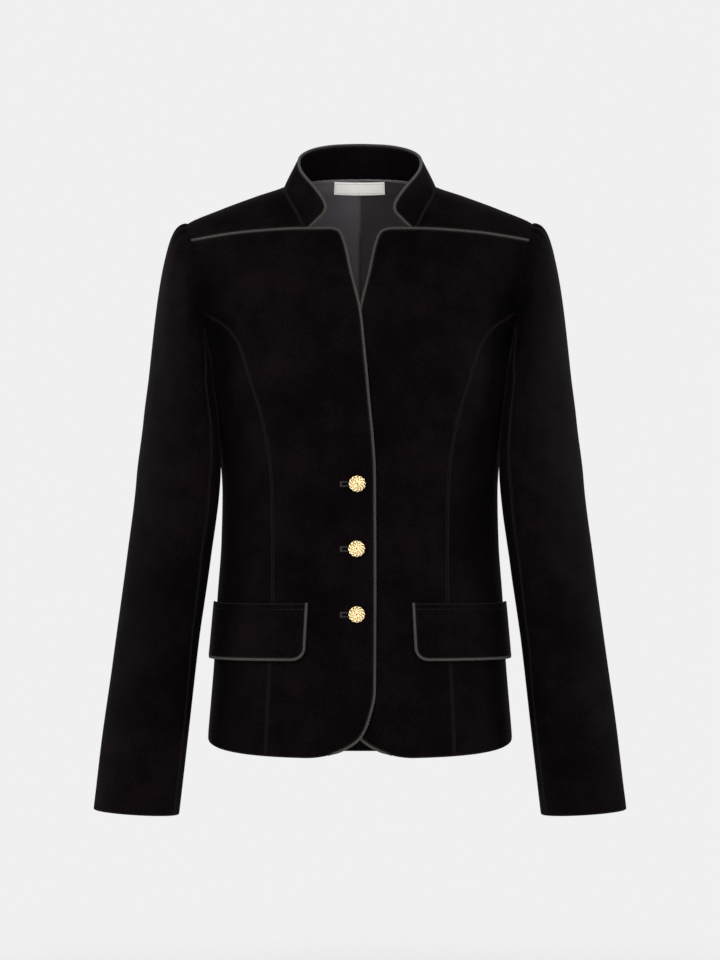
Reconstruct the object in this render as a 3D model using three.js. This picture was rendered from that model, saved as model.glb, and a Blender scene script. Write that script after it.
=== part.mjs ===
import * as THREE from 'three';

// Stand collar blazer in velvet, filled out as if worn, with nothing inside it.
// Millimetres, +Z up, the front faces -Y, the wearer's right side lies at -X.
// The origin is level with the neck points of the shoulders, midway between front and back.
// Every panel is a patch on one outer face of the body or of the sleeve, with its wall inside.

// Cloth and trim
const wall = 2.4;
const liningWall = 1.0;
const liningGap = 2.2;
const labelWall = 0.6;
const seamInset = 0.22;
const cordRadius = 1.5;
const cordSides = 6;
const cordRoom = cordRadius + 0.3;
const cordRise = 0.8;
const cordEndTuck = 1.6;
const cordEndLength = 14;
const closeGap = 0.3;

// Levels of the body
const shoulderTipZ = -41;
const backNeckZ = 16;
const underarmZ = -178;
const sideHemZ = -589;
const frontHemDrop = 15.5;
const backHemDrop = 29;
const hemLevel = -600;
const backHemZ = sideHemZ - backHemDrop;
const backNeckCurve = 2.2;
const angleNudge = 0.004;
const heightNudge = 0.4;

// Armhole, an oval on the body's side
const armholeMiddleZ = (shoulderTipZ + underarmZ) / 2;
const armholeHalfHeight = (shoulderTipZ - underarmZ) / 2;
const armholeFrontDepth = 52;
const armholeBackDepth = 55;
const frontSeamAngle = 0.785;
const princessStartAngle = 2.0;

// How far the closed fronts stand off each other at the overlap
const lapOver = 1.9;
const lapUnder = -2.1;
const lapFull = 12;
const lapNone = 44;

// Outer face of the body, a row for each level
const bodyLevels = [
  { z: 40, halfWidth: 62, front: 58, back: 62, square: 2.1 },
  { z: 16, halfWidth: 68, front: 60, back: 68, square: 2.1 },
  { z: 8, halfWidth: 74, front: 61, back: 71, square: 2.1 },
  { z: 0, halfWidth: 81.3, front: 62, back: 74, square: 2.1 },
  { z: -12, halfWidth: 114.6, front: 66, back: 79, square: 2.1 },
  { z: -25, halfWidth: 150, front: 68, back: 84, square: 2.1 },
  { z: -42, halfWidth: 188, front: 70, back: 90, square: 2.15 },
  { z: -61, halfWidth: 202, front: 74, back: 95, square: 2.2 },
  { z: -88, halfWidth: 202, front: 83, back: 100, square: 2.3 },
  { z: -125, halfWidth: 186, front: 95, back: 104, square: 2.4 },
  { z: -160, halfWidth: 167, front: 107, back: 105, square: 2.4 },
  { z: -178, halfWidth: 160.5, front: 112, back: 104, square: 2.4 },
  { z: -208, halfWidth: 158.8, front: 117, back: 101, square: 2.4 },
  { z: -251, halfWidth: 155, front: 113, back: 93, square: 2.3 },
  { z: -294, halfWidth: 150, front: 104, back: 85, square: 2.2 },
  { z: -330, halfWidth: 148, front: 99, back: 82, square: 2.2 },
  { z: -380, halfWidth: 149, front: 98, back: 85, square: 2.3 },
  { z: -445, halfWidth: 153.4, front: 102, back: 96, square: 2.5 },
  { z: -509, halfWidth: 156.6, front: 107, back: 107, square: 2.6 },
  { z: -552, halfWidth: 160, front: 110, back: 112, square: 2.7 },
  { z: -589, halfWidth: 163, front: 113, back: 116, square: 2.8 },
  { z: -640, halfWidth: 166, front: 115, back: 119, square: 2.8 },
];

// Neck seam at the front, from the shoulder's neck point down to the piped edge
const frontNeckRows = [
  { x: 81.3, z: 0 },
  { x: 80.6, z: -4 },
  { x: 77.4, z: -13.2 },
  { x: 67.1, z: -32.1 },
  { x: 59.4, z: -47.4 },
];

// Line of the piping on each front: along the yoke, round the corner, down and round the hem
const pipedRows = [
  { x: -181, z: -60.6 },
  { x: -121, z: -53.2 },
  { x: -59, z: -50.2 },
  { x: -32, z: -50.3 },
  { x: -23, z: -53 },
  { x: -18.3, z: -60.5 },
  { x: -9.5, z: -98 },
  { x: 0.5, z: -141.5 },
  { x: 3.9, z: -175.3 },
  { x: 8, z: -219 },
  { x: 15.1, z: -313.3 },
  { x: 15.6, z: -440 },
  { x: 15.1, z: -533.6 },
  { x: 8.8, z: -564.8 },
  { x: 0.5, z: -582.4 },
  { x: -10.9, z: -591.8 },
  { x: -33.8, z: -602.4 },
];
const pipedCornerRow = 4;
const pipedNeckRow = 2;
const pipedStraightRow = 12;

// Princess seam from the armhole to the hem
const princessRows = [
  { z: -154.8, x: 141 },
  { z: -171.5, x: 128.5 },
  { z: -213.2, x: 114 },
  { z: -245.5, x: 104 },
  { z: -281, x: 96.7 },
  { z: -313.3, x: 93 },
  { z: -341.5, x: 92 },
  { z: -440.6, x: 91.5 },
  { z: -506.3, x: 94.6 },
  { z: -604, x: 98.7 },
];

// Outer face of the right sleeve below the cap, a row for each ring, from the armpit to the cuff;
// the lean turns each ring so that its front lies in against the body
const sleeveRings = [
  { z: -208, x: 192.8, halfWidth: 36.2, lean: 30, y: -10, halfDepth: 58, seam: 112 },
  { z: -251, x: 192.6, halfWidth: 41.4, lean: 32, y: -16, halfDepth: 56, seam: 112 },
  { z: -315, x: 194.6, halfWidth: 46.6, lean: 30, y: -18, halfDepth: 52, seam: 112 },
  { z: -402, x: 205, halfWidth: 46, lean: 24, y: -21, halfDepth: 48, seam: 120 },
  { z: -488, x: 216.6, halfWidth: 45.1, lean: 16, y: -25, halfDepth: 43, seam: 133 },
  { z: -574, x: 226.8, halfWidth: 45.4, lean: 9, y: -30, halfDepth: 38, seam: 145 },
  { z: -668.3, x: 238, halfWidth: 45.8, lean: 4, y: -36, halfDepth: 34, seam: 151 },
];
const cuffTilt = 0.058;
const armholeSeamAngle = 2.25;
const backSeamAngle = -2.3;
const capReach = { out: 16, outTop: 14, side: 16, up: -4, upTop: 8 };
const capShoulder = 0.45;
const capFlare = 0.113;
const sleeveGap = 0.6;
const turnNudge = 0.01;

// Gathers round the sleeve head
const gatherCount = 8;
const gatherColumns = 3;
const gatherHalfSpan = 0.95;
const gatherDepth = 1.1;
const gatherFade = 0.16;

// Collar: the band's top line at the back and side, then the wing
const collarTopRows = [
  { turn: 0, x: 0, y: 60, z: 51.5 },
  { turn: 2, x: 27, y: 55, z: 50 },
  { turn: 4, x: 52, y: 39, z: 44 },
  { turn: 6, x: 65, y: 14, z: 34.5 },
  { turn: 7, x: 67.2, y: -3, z: 28.5 },
  { turn: 8, x: 66.8, y: -20, z: 21.5 },
  { turn: 9, x: 64.2, y: -35, z: 13.5 },
  { turn: 10, x: 59.5, y: -47, z: 6 },
  { turn: 11, x: 53, y: -57, z: -2 },
  { turn: 12, x: 46.3, y: -65.5, z: -10.8 },
  { turn: 13, x: 39.8, y: -72.5, z: -20.5 },
  { turn: 14, x: 34, y: -78, z: -29.5 },
];
const collarSideTurn = 7;
const wingFoot = { x: 53.5, z: -48 };
const collarRows = 4;
const collarBulge = 0.3;
const collarRise = 0.45;
const wingCordRows = [3, 2, 1, 0.3];

// Pocket flap
const flapTopZ = -443.5;
const flapSlope = 2;
const flapInnerX = 56.6;
const flapWidth = 145;
const flapDepth = 59;
const flapCorner = 12;
const flapLiftTop = 0.9;
const flapLiftBottom = 3.4;
const flapLevel = -472;

// Buttons on the top front
const buttonPlaces = [
  { x: -2.8, z: -318.8 },
  { x: -3.4, z: -387 },
  { x: -3.4, z: -455.3 },
];
const buttonRadius = 8.9;
const buttonLobes = 12;
const buttonLobeDepth = 0.45;
const buttonHeight = 3.6;
const shankRadius = 2.2;
const shankHeight = 1.2;

// Numbers of columns and rows of the panels
const shoulderSteps = 6;
const neckSteps = 5;
const backNeckSteps = 9;
const cornerSteps = 3;
const armholeFrontSteps = 4;
const armholeBackSteps = 6;
const underarmSteps = 5;
const underSleeveSteps = 6;
const labelColumns = [-2.36, -2, -1, 0, 1, 2, 2.36];
const labelRows = [0.06, 0.97];
const liningEdge = 1;
const liningRows = [0.25, 2, 4, 5, 6, 7, 8, 9, 10, 11, 12, 14, 16, 18, 20, 22, 24, 26.4];
const flapColumns = 10;
const flapSideRows = 3;
const hemBlend = 0.35;
const bodyRowDepths = [0, 0.08, 0.16, 0.24, 0.32, 0.4, 0.48, 0.56, 0.64, 0.72, 0.79, 0.85, 0.9, 0.94, 0.97, 1];
const sleeveRowLevels = [-251, -300, -350, -402, -460, -520, -590, -669.3];

const velvet = new THREE.MeshStandardMaterial({ color: 0x120a0c, roughness: 0.85 });
const satin = new THREE.MeshStandardMaterial({ color: 0x4b494c, roughness: 0.45 });
const cordTrim = new THREE.MeshStandardMaterial({ color: 0x46443e, roughness: 0.6 });
const labelCloth = new THREE.MeshStandardMaterial({ color: 0xe8e6e2, roughness: 0.7 });
const giltMetal = new THREE.MeshStandardMaterial({ color: 0xd9b866, roughness: 0.35, metalness: 1 });

const jacket = new THREE.Group();

// Value of one column of a table between its rows, smooth and without overshoot
function between(rows, key, column, at) {
  const rising = rows[rows.length - 1][key] > rows[0][key] ? 1 : -1;
  let last = 1;
  while (last < rows.length - 1 && (rows[last][key] - at) * rising < 0) last += 1;
  const slope = (i) => (rows[i][column] - rows[i - 1][column]) / (rows[i][key] - rows[i - 1][key]);
  const tangent = (i) => {
    if (i === 0) return slope(1);
    if (i === rows.length - 1) return slope(i);
    const before = slope(i);
    const after = slope(i + 1);
    return before * after <= 0 ? 0 : (2 * before * after) / (before + after);
  };
  const from = rows[last - 1];
  const to = rows[last];
  const span = to[key] - from[key];
  const t = THREE.MathUtils.clamp((at - from[key]) / span, 0, 1);
  const rest = 1 - t;
  return (
    from[column] * (1 + 2 * t) * rest * rest +
    to[column] * t * t * (3 - 2 * t) +
    span * t * rest * (tangent(last - 1) * rest - tangent(last) * t)
  );
}

// A table whose rows are the points of a curve, with the length run up to each of them
function measured(rows) {
  let run = 0;
  return rows.map((row, i) => {
    if (i > 0) run += Math.hypot(row.x - rows[i - 1].x, row.z - rows[i - 1].z);
    return { ...row, run };
  });
}

function level(z) {
  const at = (column) => between(bodyLevels, 'z', column, z);
  return { halfWidth: at('halfWidth'), front: at('front'), back: at('back'), square: at('square') };
}

// Body face at an angle from the front's middle towards the wearer's right
function bodyFace(angle, z) {
  const at = level(z);
  const depth = Math.cos(angle) > 0 ? at.front : at.back;
  const across = Math.pow(Math.abs(Math.sin(angle)) / at.halfWidth, at.square);
  const along = Math.pow(Math.abs(Math.cos(angle)) / depth, at.square);
  const radius = Math.pow(across + along, -1 / at.square);
  return new THREE.Vector3(-radius * Math.sin(angle), -radius * Math.cos(angle), z);
}

// Outward direction of any face given as a function of two numbers
function faceNormal(face, u, v, du, dv) {
  const alongU = face(u + du, v).sub(face(u - du, v));
  const alongV = face(u, v + dv).sub(face(u, v - dv));
  return alongV.cross(alongU).normalize();
}

function bodyPoint(angle, z, out) {
  const normal = faceNormal(bodyFace, angle, z, angleNudge, heightNudge);
  return bodyFace(angle, z).addScaledVector(normal, out);
}

// Angle of the front face where it lies x to the wearer's right
function angleAcross(x, z) {
  const at = level(z);
  const rest = Math.max(0, 1 - Math.pow(Math.abs(x) / at.halfWidth, at.square));
  return Math.atan2(x, at.front * Math.pow(rest, 1 / at.square));
}

// Armhole at an angle from the shoulder tip, positive over the front, negative over the back
function armhole(turn) {
  const z = armholeMiddleZ + armholeHalfHeight * Math.cos(turn);
  const reach = turn > 0 ? armholeFrontDepth : armholeBackDepth;
  const y = reach * Math.abs(Math.sin(turn));
  const at = level(z);
  const depth = turn > 0 ? at.front : at.back;
  const x = at.halfWidth * Math.pow(1 - Math.pow(y / depth, at.square), 1 / at.square);
  return { angle: Math.atan2(x, turn > 0 ? y : -y), z };
}

// Evenly stepped points of a function from one number to another
function stepped(count, from, to, point) {
  return Array.from({ length: count + 1 }, (_, i) => point(from + ((to - from) * i) / count));
}

// Places along the shoulder's ridge from the neck point to the tip, equal steps across
function shoulderLine() {
  const ridge = bodyLevels.filter((row) => row.z <= 0 && row.z >= -42);
  const tipWidth = between(ridge, 'z', 'halfWidth', shoulderTipZ);
  return stepped(shoulderSteps, ridge[0].halfWidth, tipWidth, (halfWidth) => ({
    angle: Math.PI / 2,
    z: between(ridge, 'halfWidth', 'z', halfWidth),
  }));
}

const frontNeck = measured(frontNeckRows);
const piped = measured(pipedRows);
const pipedLength = piped[piped.length - 1].run;
const cornerRun = piped[pipedCornerRow].run;
const neckRun = piped[pipedNeckRow].run;

// Piped line at a length along it, moved outwards from the front that it edges
function pipedAt(run, out) {
  const place = (at) => ({ x: between(piped, 'run', 'x', at), z: between(piped, 'run', 'z', at) });
  const before = place(Math.max(0, run - 1));
  const after = place(Math.min(pipedLength, run + 1));
  const length = Math.hypot(after.x - before.x, after.z - before.z);
  const at = place(run);
  return {
    x: at.x - (out * (after.z - before.z)) / length,
    z: at.z + (out * (after.x - before.x)) / length,
  };
}

function pipedPlace(run, out) {
  const at = pipedAt(run, out);
  return { angle: angleAcross(-at.x, at.z), z: at.z };
}

function hemPlace(angle) {
  const at = level(hemLevel);
  const ahead = Math.cos(angle) > 0;
  const share = Math.abs(bodyFace(angle, hemLevel).y) / (ahead ? at.front : at.back);
  return { angle, z: sideHemZ - share * (ahead ? frontHemDrop : backHemDrop) };
}

// Princess seam, from its armhole end (0) to the hem (1)
function princess(share) {
  const top = armhole(princessStartAngle);
  const topX = -bodyFace(top.angle, top.z).x;
  const rows = [{ z: top.z, x: topX }, ...princessRows];
  const foot = hemPlace(angleAcross(princessRows[princessRows.length - 1].x, hemLevel));
  const z = THREE.MathUtils.lerp(top.z, foot.z, share);
  return { angle: angleAcross(between(rows, 'z', 'x', z), z), z };
}

function sideSeam(share) {
  return { angle: Math.PI / 2, z: THREE.MathUtils.lerp(underarmZ, sideHemZ, share) };
}

// Grid of places inside four border lines; left and right run down, top and bottom run across
function patch({ top, bottom, left, right }) {
  const columns = top.length - 1;
  const rows = left.length - 1;
  const blend = (j, i, key) => {
    const u = i / columns;
    const v = j / rows;
    const acrossPart = top[i][key] * (1 - v) + bottom[i][key] * v;
    const downPart = left[j][key] * (1 - u) + right[j][key] * u;
    const topPart = top[0][key] * (1 - u) + top[columns][key] * u;
    const bottomPart = bottom[0][key] * (1 - u) + bottom[columns][key] * u;
    return acrossPart + downPart - topPart * (1 - v) - bottomPart * v;
  };
  return left.map((_, j) => top.map((__, i) => ({ angle: blend(j, i, 'angle'), z: blend(j, i, 'z') })));
}

// Move the border of a grid of points in towards its neighbours, so that seams keep a gap
function insetBorder(grid, distance) {
  const lastRow = grid.length - 1;
  const lastColumn = grid[0].length - 1;
  const shift = (point, towards) => towards.clone().sub(point).setLength(distance);
  return grid.map((row, j) => row.map((point, i) => {
    const moved = point.clone();
    if (j === 0) moved.add(shift(point, grid[1][i]));
    if (j === lastRow) moved.add(shift(point, grid[lastRow - 1][i]));
    if (i === 0) moved.add(shift(point, row[1]));
    if (i === lastColumn) moved.add(shift(point, row[lastColumn - 1]));
    return moved;
  }));
}

// Closed wall between an outer and an inner grid of points; from the mirror column on, squares
// are split along their other diagonal, as on the mirrored panel behind them
function shell(outer, inner, mirrorColumn = Infinity) {
  const rows = outer.length;
  const columns = outer[0].length;
  const index = [];
  const at = (side, j, i) => (side * rows + j) * columns + i;
  const quad = (a, b, c, d) => index.push(a, b, c, a, c, d);
  const faceQuad = (i, a, b, c, d) => (i < mirrorColumn ? quad(a, b, c, d) : quad(b, c, d, a));
  for (let j = 0; j < rows - 1; j += 1) {
    for (let i = 0; i < columns - 1; i += 1) {
      faceQuad(i, at(0, j, i), at(0, j + 1, i), at(0, j + 1, i + 1), at(0, j, i + 1));
      faceQuad(i, at(1, j, i), at(1, j, i + 1), at(1, j + 1, i + 1), at(1, j + 1, i));
    }
    const far = columns - 1;
    quad(at(0, j + 1, 0), at(0, j, 0), at(1, j, 0), at(1, j + 1, 0));
    quad(at(0, j + 1, far), at(1, j + 1, far), at(1, j, far), at(0, j, far));
  }
  for (let i = 0; i < columns - 1; i += 1) {
    const foot = rows - 1;
    quad(at(0, 0, i), at(0, 0, i + 1), at(1, 0, i + 1), at(1, 0, i));
    quad(at(0, foot, i), at(1, foot, i), at(1, foot, i + 1), at(0, foot, i + 1));
  }
  return closedGeometry([...outer.flat(), ...inner.flat()], index);
}

// Geometry from points and triangles, turned so that its faces point out
function closedGeometry(points, index) {
  let volume = 0;
  for (let i = 0; i < index.length; i += 3) {
    const [a, b, c] = [points[index[i]], points[index[i + 1]], points[index[i + 2]]];
    volume += a.dot(b.clone().cross(c));
  }
  const facing = volume > 0 ? index : index.slice().reverse();
  const geometry = new THREE.BufferGeometry();
  geometry.setAttribute('position', new THREE.Float32BufferAttribute(points.flatMap((p) => p.toArray()), 3));
  geometry.setIndex(facing);
  geometry.computeVertexNormals();
  return geometry;
}

function mirrored(points) {
  return points.map((row) => row.map((p) => new THREE.Vector3(-p.x, p.y, p.z)));
}

function addMesh(name, geometry, material) {
  const mesh = new THREE.Mesh(geometry, material);
  mesh.name = name;
  jacket.add(mesh);
}

function addShell(name, outer, inner, material, side) {
  const turn = side === 'left' ? mirrored : (grid) => grid;
  addMesh(`${name}_${side}`, shell(turn(outer), turn(inner)), material);
}

// Outer and inner faces of a body panel, with the fronts standing over and under each other
function bodyWall(places, lap = 0) {
  const face = (depth) => insetBorder(places.map((row) => row.map(({ angle, z }) => {
    const across = Math.abs(bodyFace(angle, z).x);
    const near = 1 - THREE.MathUtils.smoothstep(across, lapFull, lapNone);
    return bodyPoint(angle, z, Math.cos(angle) > 0 ? lap * near - depth : -depth);
  })), seamInset);
  return [face(0), face(wall)];
}

function frontPlaces() {
  const acrossYoke = stepped(shoulderSteps, 0, neckRun, (run) => pipedPlace(run, -cordRoom));
  const acrossCorner = stepped(cornerSteps, neckRun, cornerRun, (run) => pipedPlace(run, -cordRoom));
  const armholeSide = stepped(armholeFrontSteps, frontSeamAngle, princessStartAngle, armhole);
  armholeSide[0] = acrossYoke[0];
  const outerSide = [...armholeSide, ...bodyRowDepths.slice(1).map(princess)];
  const fall = outerSide[outerSide.length - 1].z - outerSide[0].z;
  const innerSide = outerSide.map(({ z }) => {
    const share = (z - outerSide[0].z) / fall;
    return pipedPlace(THREE.MathUtils.lerp(cornerRun, pipedLength, share), -cordRoom);
  });
  const columns = shoulderSteps + cornerSteps;
  const outerFoot = outerSide[outerSide.length - 1];
  const innerFoot = innerSide[innerSide.length - 1];
  const foot = stepped(columns, outerFoot.angle, innerFoot.angle, hemPlace);
  foot[0] = outerFoot;
  foot[columns] = innerFoot;
  foot[columns - 1].z = THREE.MathUtils.lerp(foot[columns - 2].z, innerFoot.z, hemBlend);
  return patch({ top: [...acrossYoke, ...acrossCorner.slice(1)], bottom: foot, left: outerSide, right: innerSide });
}

function sideFrontPlaces() {
  const left = bodyRowDepths.map(sideSeam);
  const right = bodyRowDepths.map(princess);
  const top = stepped(underarmSteps, Math.PI, princessStartAngle, armhole);
  const foot = stepped(underarmSteps, Math.PI / 2, right[right.length - 1].angle, hemPlace);
  return patch({ top, bottom: foot, left, right });
}

function frontNeckPlace(share) {
  const run = share * frontNeck[frontNeck.length - 1].run;
  const z = between(frontNeck, 'run', 'z', run);
  return { angle: angleAcross(between(frontNeck, 'run', 'x', run), z), z };
}

function backNeckPlace(share) {
  const angle = THREE.MathUtils.lerp(Math.PI / 2, Math.PI, share);
  return { angle, z: backNeckZ * (1 - Math.pow(1 - share, backNeckCurve)) };
}

function yokePlaces() {
  const top = stepped(neckSteps, 0, 1, frontNeckPlace);
  const bottom = stepped(neckSteps, 0, frontSeamAngle, armhole);
  const piping = stepped(shoulderSteps, neckRun, 0, (run) => pipedPlace(run, cordRoom));
  top[neckSteps] = piping[0];
  bottom[neckSteps] = piping[shoulderSteps];
  return patch({ top, bottom, left: shoulderLine(), right: piping });
}

function backPlaces() {
  const armholeSide = stepped(armholeBackSteps, -0.0001, -Math.PI, armhole);
  const left = [...shoulderLine(), ...armholeSide.slice(1), ...bodyRowDepths.slice(1).map(sideSeam)];
  const right = left.map(({ z }) => ({
    angle: Math.PI,
    z: THREE.MathUtils.lerp(backNeckZ, backHemZ, z / sideHemZ),
  }));
  const top = stepped(backNeckSteps, 0, 1, backNeckPlace);
  const foot = stepped(backNeckSteps, Math.PI / 2, Math.PI, hemPlace);
  return patch({ top, bottom: foot, left, right });
}

// Ring of the right sleeve at a level; the turn runs from its outer side over the front
function sleeveRing(turn, z) {
  const at = (column) => between(sleeveRings, 'z', column, z);
  const out = at('halfWidth') * Math.cos(turn + THREE.MathUtils.degToRad(at('lean')));
  const drop = THREE.MathUtils.smoothstep(-z, -sleeveRings[0].z, -sleeveRings[sleeveRings.length - 1].z);
  return new THREE.Vector3(
    -(at('x') + out),
    at('y') - at('halfDepth') * Math.sin(turn),
    z + cuffTilt * drop * out,
  );
}

// Cap of the sleeve from the armhole (0) to its first ring (1), a Bezier curve at each turn
function sleeveCap(turn, share) {
  const place = armhole(turn === 0 ? 0.0001 : turn);
  const start = bodyFace(place.angle, place.z).setX(bodyFace(place.angle, place.z).x - sleeveGap);
  const end = sleeveRing(turn, sleeveRings[0].z);
  const rise = capShoulder * (start.z - end.z);
  const outwards = (1 + Math.cos(turn + THREE.MathUtils.degToRad(sleeveRings[0].lean))) / 2;
  const lead = new THREE.Vector3(
    -(capReach.out + capReach.outTop * Math.cos(turn)),
    -capReach.side * Math.sin(turn),
    capReach.up + capReach.upTop * Math.cos(turn),
  );
  const arrive = new THREE.Vector3(capFlare * rise * outwards, 0, rise);
  return new THREE.CubicBezierCurve3(start, start.clone().add(lead), end.clone().add(arrive), end).getPoint(share);
}

// Sleeve face: rows 0 to 1 are the cap, lower rows run down to the cuff by level
function sleeveFace(turn, row) {
  if (row > 1) return sleeveRing(turn, sleeveRings[0].z - (row - 1));
  return sleeveCap(turn, Math.max(row, 0));
}

function sleevePoint(turn, row, out) {
  const normal = faceNormal(sleeveFace, turn, row, turnNudge, row < 1 ? turnNudge : 1);
  const pleat = Math.cos((turn / gatherHalfSpan) * Math.PI * gatherCount);
  const reach = 1 - THREE.MathUtils.smoothstep(Math.abs(turn), gatherHalfSpan * 0.75, gatherHalfSpan);
  const fade = row < 1 ? Math.exp(-Math.pow(row / gatherFade, 2)) : 0;
  const swell = gatherDepth * 0.5 * (pleat + 1) * reach * fade * (row > 0.01 ? 1 : 0.35);
  return sleeveFace(turn, row).addScaledVector(normal, out + swell);
}

function sleeveSeam(row) {
  if (row <= 1) return THREE.MathUtils.lerp(armholeSeamAngle, THREE.MathUtils.degToRad(sleeveRings[0].seam), row);
  return THREE.MathUtils.degToRad(between(sleeveRings, 'z', 'seam', sleeveRings[0].z - (row - 1)));
}

const capRowShares = [0, 0.05, 0.12, 0.24, 0.42, 0.68, 1];
const sleeveRows = [...capRowShares, ...sleeveRowLevels.map((z) => 1 + sleeveRings[0].z - z)];

function sleeveWall(turnsAt) {
  const face = (depth) => {
    const grid = sleeveRows.map((row) => turnsAt(row).map((turn) => sleevePoint(turn, row, -depth)));
    return insetBorder(grid, seamInset);
  };
  return [face(0), face(wall)];
}

// Turns of the top sleeve: close together over the gathers, wide elsewhere
function topSleeveTurns(row) {
  const gathered = stepped(gatherCount * gatherColumns, -gatherHalfSpan, gatherHalfSpan, (turn) => turn);
  const behind = stepped(3, backSeamAngle, -gatherHalfSpan, (turn) => turn).slice(0, -1);
  const ahead = stepped(4, gatherHalfSpan, sleeveSeam(row), (turn) => turn).slice(1);
  return [...behind, ...gathered, ...ahead];
}

function underSleeveTurns(row) {
  return stepped(underSleeveSteps, sleeveSeam(row), backSeamAngle + 2 * Math.PI, (turn) => {
    return turn > Math.PI ? turn - 2 * Math.PI : turn;
  });
}

// Length along the body's section at the flap's level, as an angle
function angleAtLength(length) {
  let angle = angleAcross(flapInnerX, flapLevel);
  let run = 0;
  const step = 0.002;
  while (run < length) {
    run += bodyFace(angle, flapLevel).distanceTo(bodyFace(angle + step, flapLevel));
    angle += step;
  }
  return angle;
}

function flapPoint(across, down, out) {
  const lift = THREE.MathUtils.lerp(flapLiftTop, flapLiftBottom, down / flapDepth);
  const z = flapTopZ - down - (flapSlope * across) / flapWidth;
  return bodyPoint(angleAtLength(across), z, lift + out);
}

// Round lower corners of the flap, drawn in by a margin, each with its points from left to right
function flapCorners(margin, steps) {
  const radius = flapCorner - margin;
  const corner = (centre, from) => stepped(steps, from, from - Math.PI / 2, (turn) => ({
    across: centre + radius * Math.cos(turn),
    down: flapDepth - flapCorner + radius * Math.sin(turn),
  }));
  return { inner: corner(flapCorner, Math.PI), outer: corner(flapWidth - flapCorner, Math.PI / 2) };
}

function flapWall() {
  const { inner, outer } = flapCorners(cordRoom, 2);
  const down = (corner, edge) => [
    ...stepped(flapSideRows, 0, flapDepth - flapCorner, (depth) => ({ across: edge, down: depth })),
    corner,
  ];
  const left = down(inner[1], cordRoom);
  const right = down(outer[1], flapWidth - cordRoom);
  const top = stepped(flapColumns, cordRoom, flapWidth - cordRoom, (across) => ({ across, down: 0 }));
  const footDepth = flapDepth - cordRoom;
  const bottom = stepped(flapColumns, inner[1].across, outer[1].across, (across) => ({ across, down: footDepth }));
  bottom[0] = inner[1];
  bottom[flapColumns] = outer[1];
  const asPlace = (line) => line.map(({ across, down: depth }) => ({ angle: across, z: depth }));
  const grid = patch({ top: asPlace(top), bottom: asPlace(bottom), left: asPlace(left), right: asPlace(right) });
  const face = (out) => grid.map((row) => row.map(({ angle, z }) => flapPoint(angle, z, out)));
  return [face(wall), face(0)];
}

function flapCordPoints() {
  const { inner, outer } = flapCorners(0, 4);
  const halfSide = (flapDepth - flapCorner) / 2;
  const start = [0, halfSide].map((down) => ({ across: 0, down }));
  const finish = [halfSide, 0].map((down) => ({ across: flapWidth, down }));
  const foot = stepped(6, flapCorner, flapWidth - flapCorner, (across) => ({ across, down: flapDepth })).slice(1, -1);
  return [...start, ...inner, ...foot, ...outer, ...finish].map(({ across, down }) => (
    flapPoint(across, down, wall - cordRise)
  ));
}

// Foot of the collar: the neck seam from the middle of the back, then on to the wing's foot
function collarFoot() {
  const behind = stepped(backNeckSteps, 1, 0, backNeckPlace);
  const ahead = stepped(neckSteps, 0, 1, frontNeckPlace);
  const neckEnd = pipedPlace(neckRun, cordRoom);
  ahead[neckSteps] = neckEnd;
  const wing = stepped(2, -bodyFace(neckEnd.angle, neckEnd.z).x, wingFoot.x, (x) => ({
    angle: angleAcross(x, wingFoot.z), z: wingFoot.z,
  }));
  return [...behind, ...ahead.slice(1), ...wing.slice(1)].map(({ angle, z }) => bodyPoint(angle, z, 0));
}

function collarTop(step) {
  const beyond = step - backNeckSteps;
  const turn = beyond > 0 ? collarSideTurn + beyond : (collarSideTurn * step) / backNeckSteps;
  const at = (column) => between(collarTopRows, 'turn', column, turn);
  return new THREE.Vector3(-at('x'), at('y'), at('z'));
}

function collarHalf() {
  const foot = collarFoot();
  return foot.map((point, step) => stepped(collarRows, 0, 1, (share) => {
    const edge = collarTop(step);
    const base = point.clone().add(edge.clone().sub(point).setLength(collarRise));
    const bulge = collarBulge * Math.sin(Math.PI * share);
    const outwards = new THREE.Vector3(base.x, base.y, 0).normalize();
    return base.lerp(edge, share).addScaledVector(outwards, bulge);
  }));
}

// Outward directions at the points of a grid
function gridNormals(grid) {
  return grid.map((row, j) => row.map((_, i) => {
    const along = grid[Math.min(j + 1, grid.length - 1)][i].clone().sub(grid[Math.max(j - 1, 0)][i]);
    const across = row[Math.min(i + 1, row.length - 1)].clone().sub(row[Math.max(i - 1, 0)]);
    return across.cross(along).normalize();
  }));
}

function collarWall() {
  const half = collarHalf();
  const outer = [...mirrored(half).slice(1).reverse(), ...half];
  const middle = outer[half.length - 1][0];
  const normals = gridNormals(outer);
  const facing = Math.sign(normals[half.length - 1][0].y * middle.y);
  const inner = outer.map((row, j) => row.map((p, i) => p.clone().addScaledVector(normals[j][i], -wall * facing)));
  return [outer, inner];
}

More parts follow.
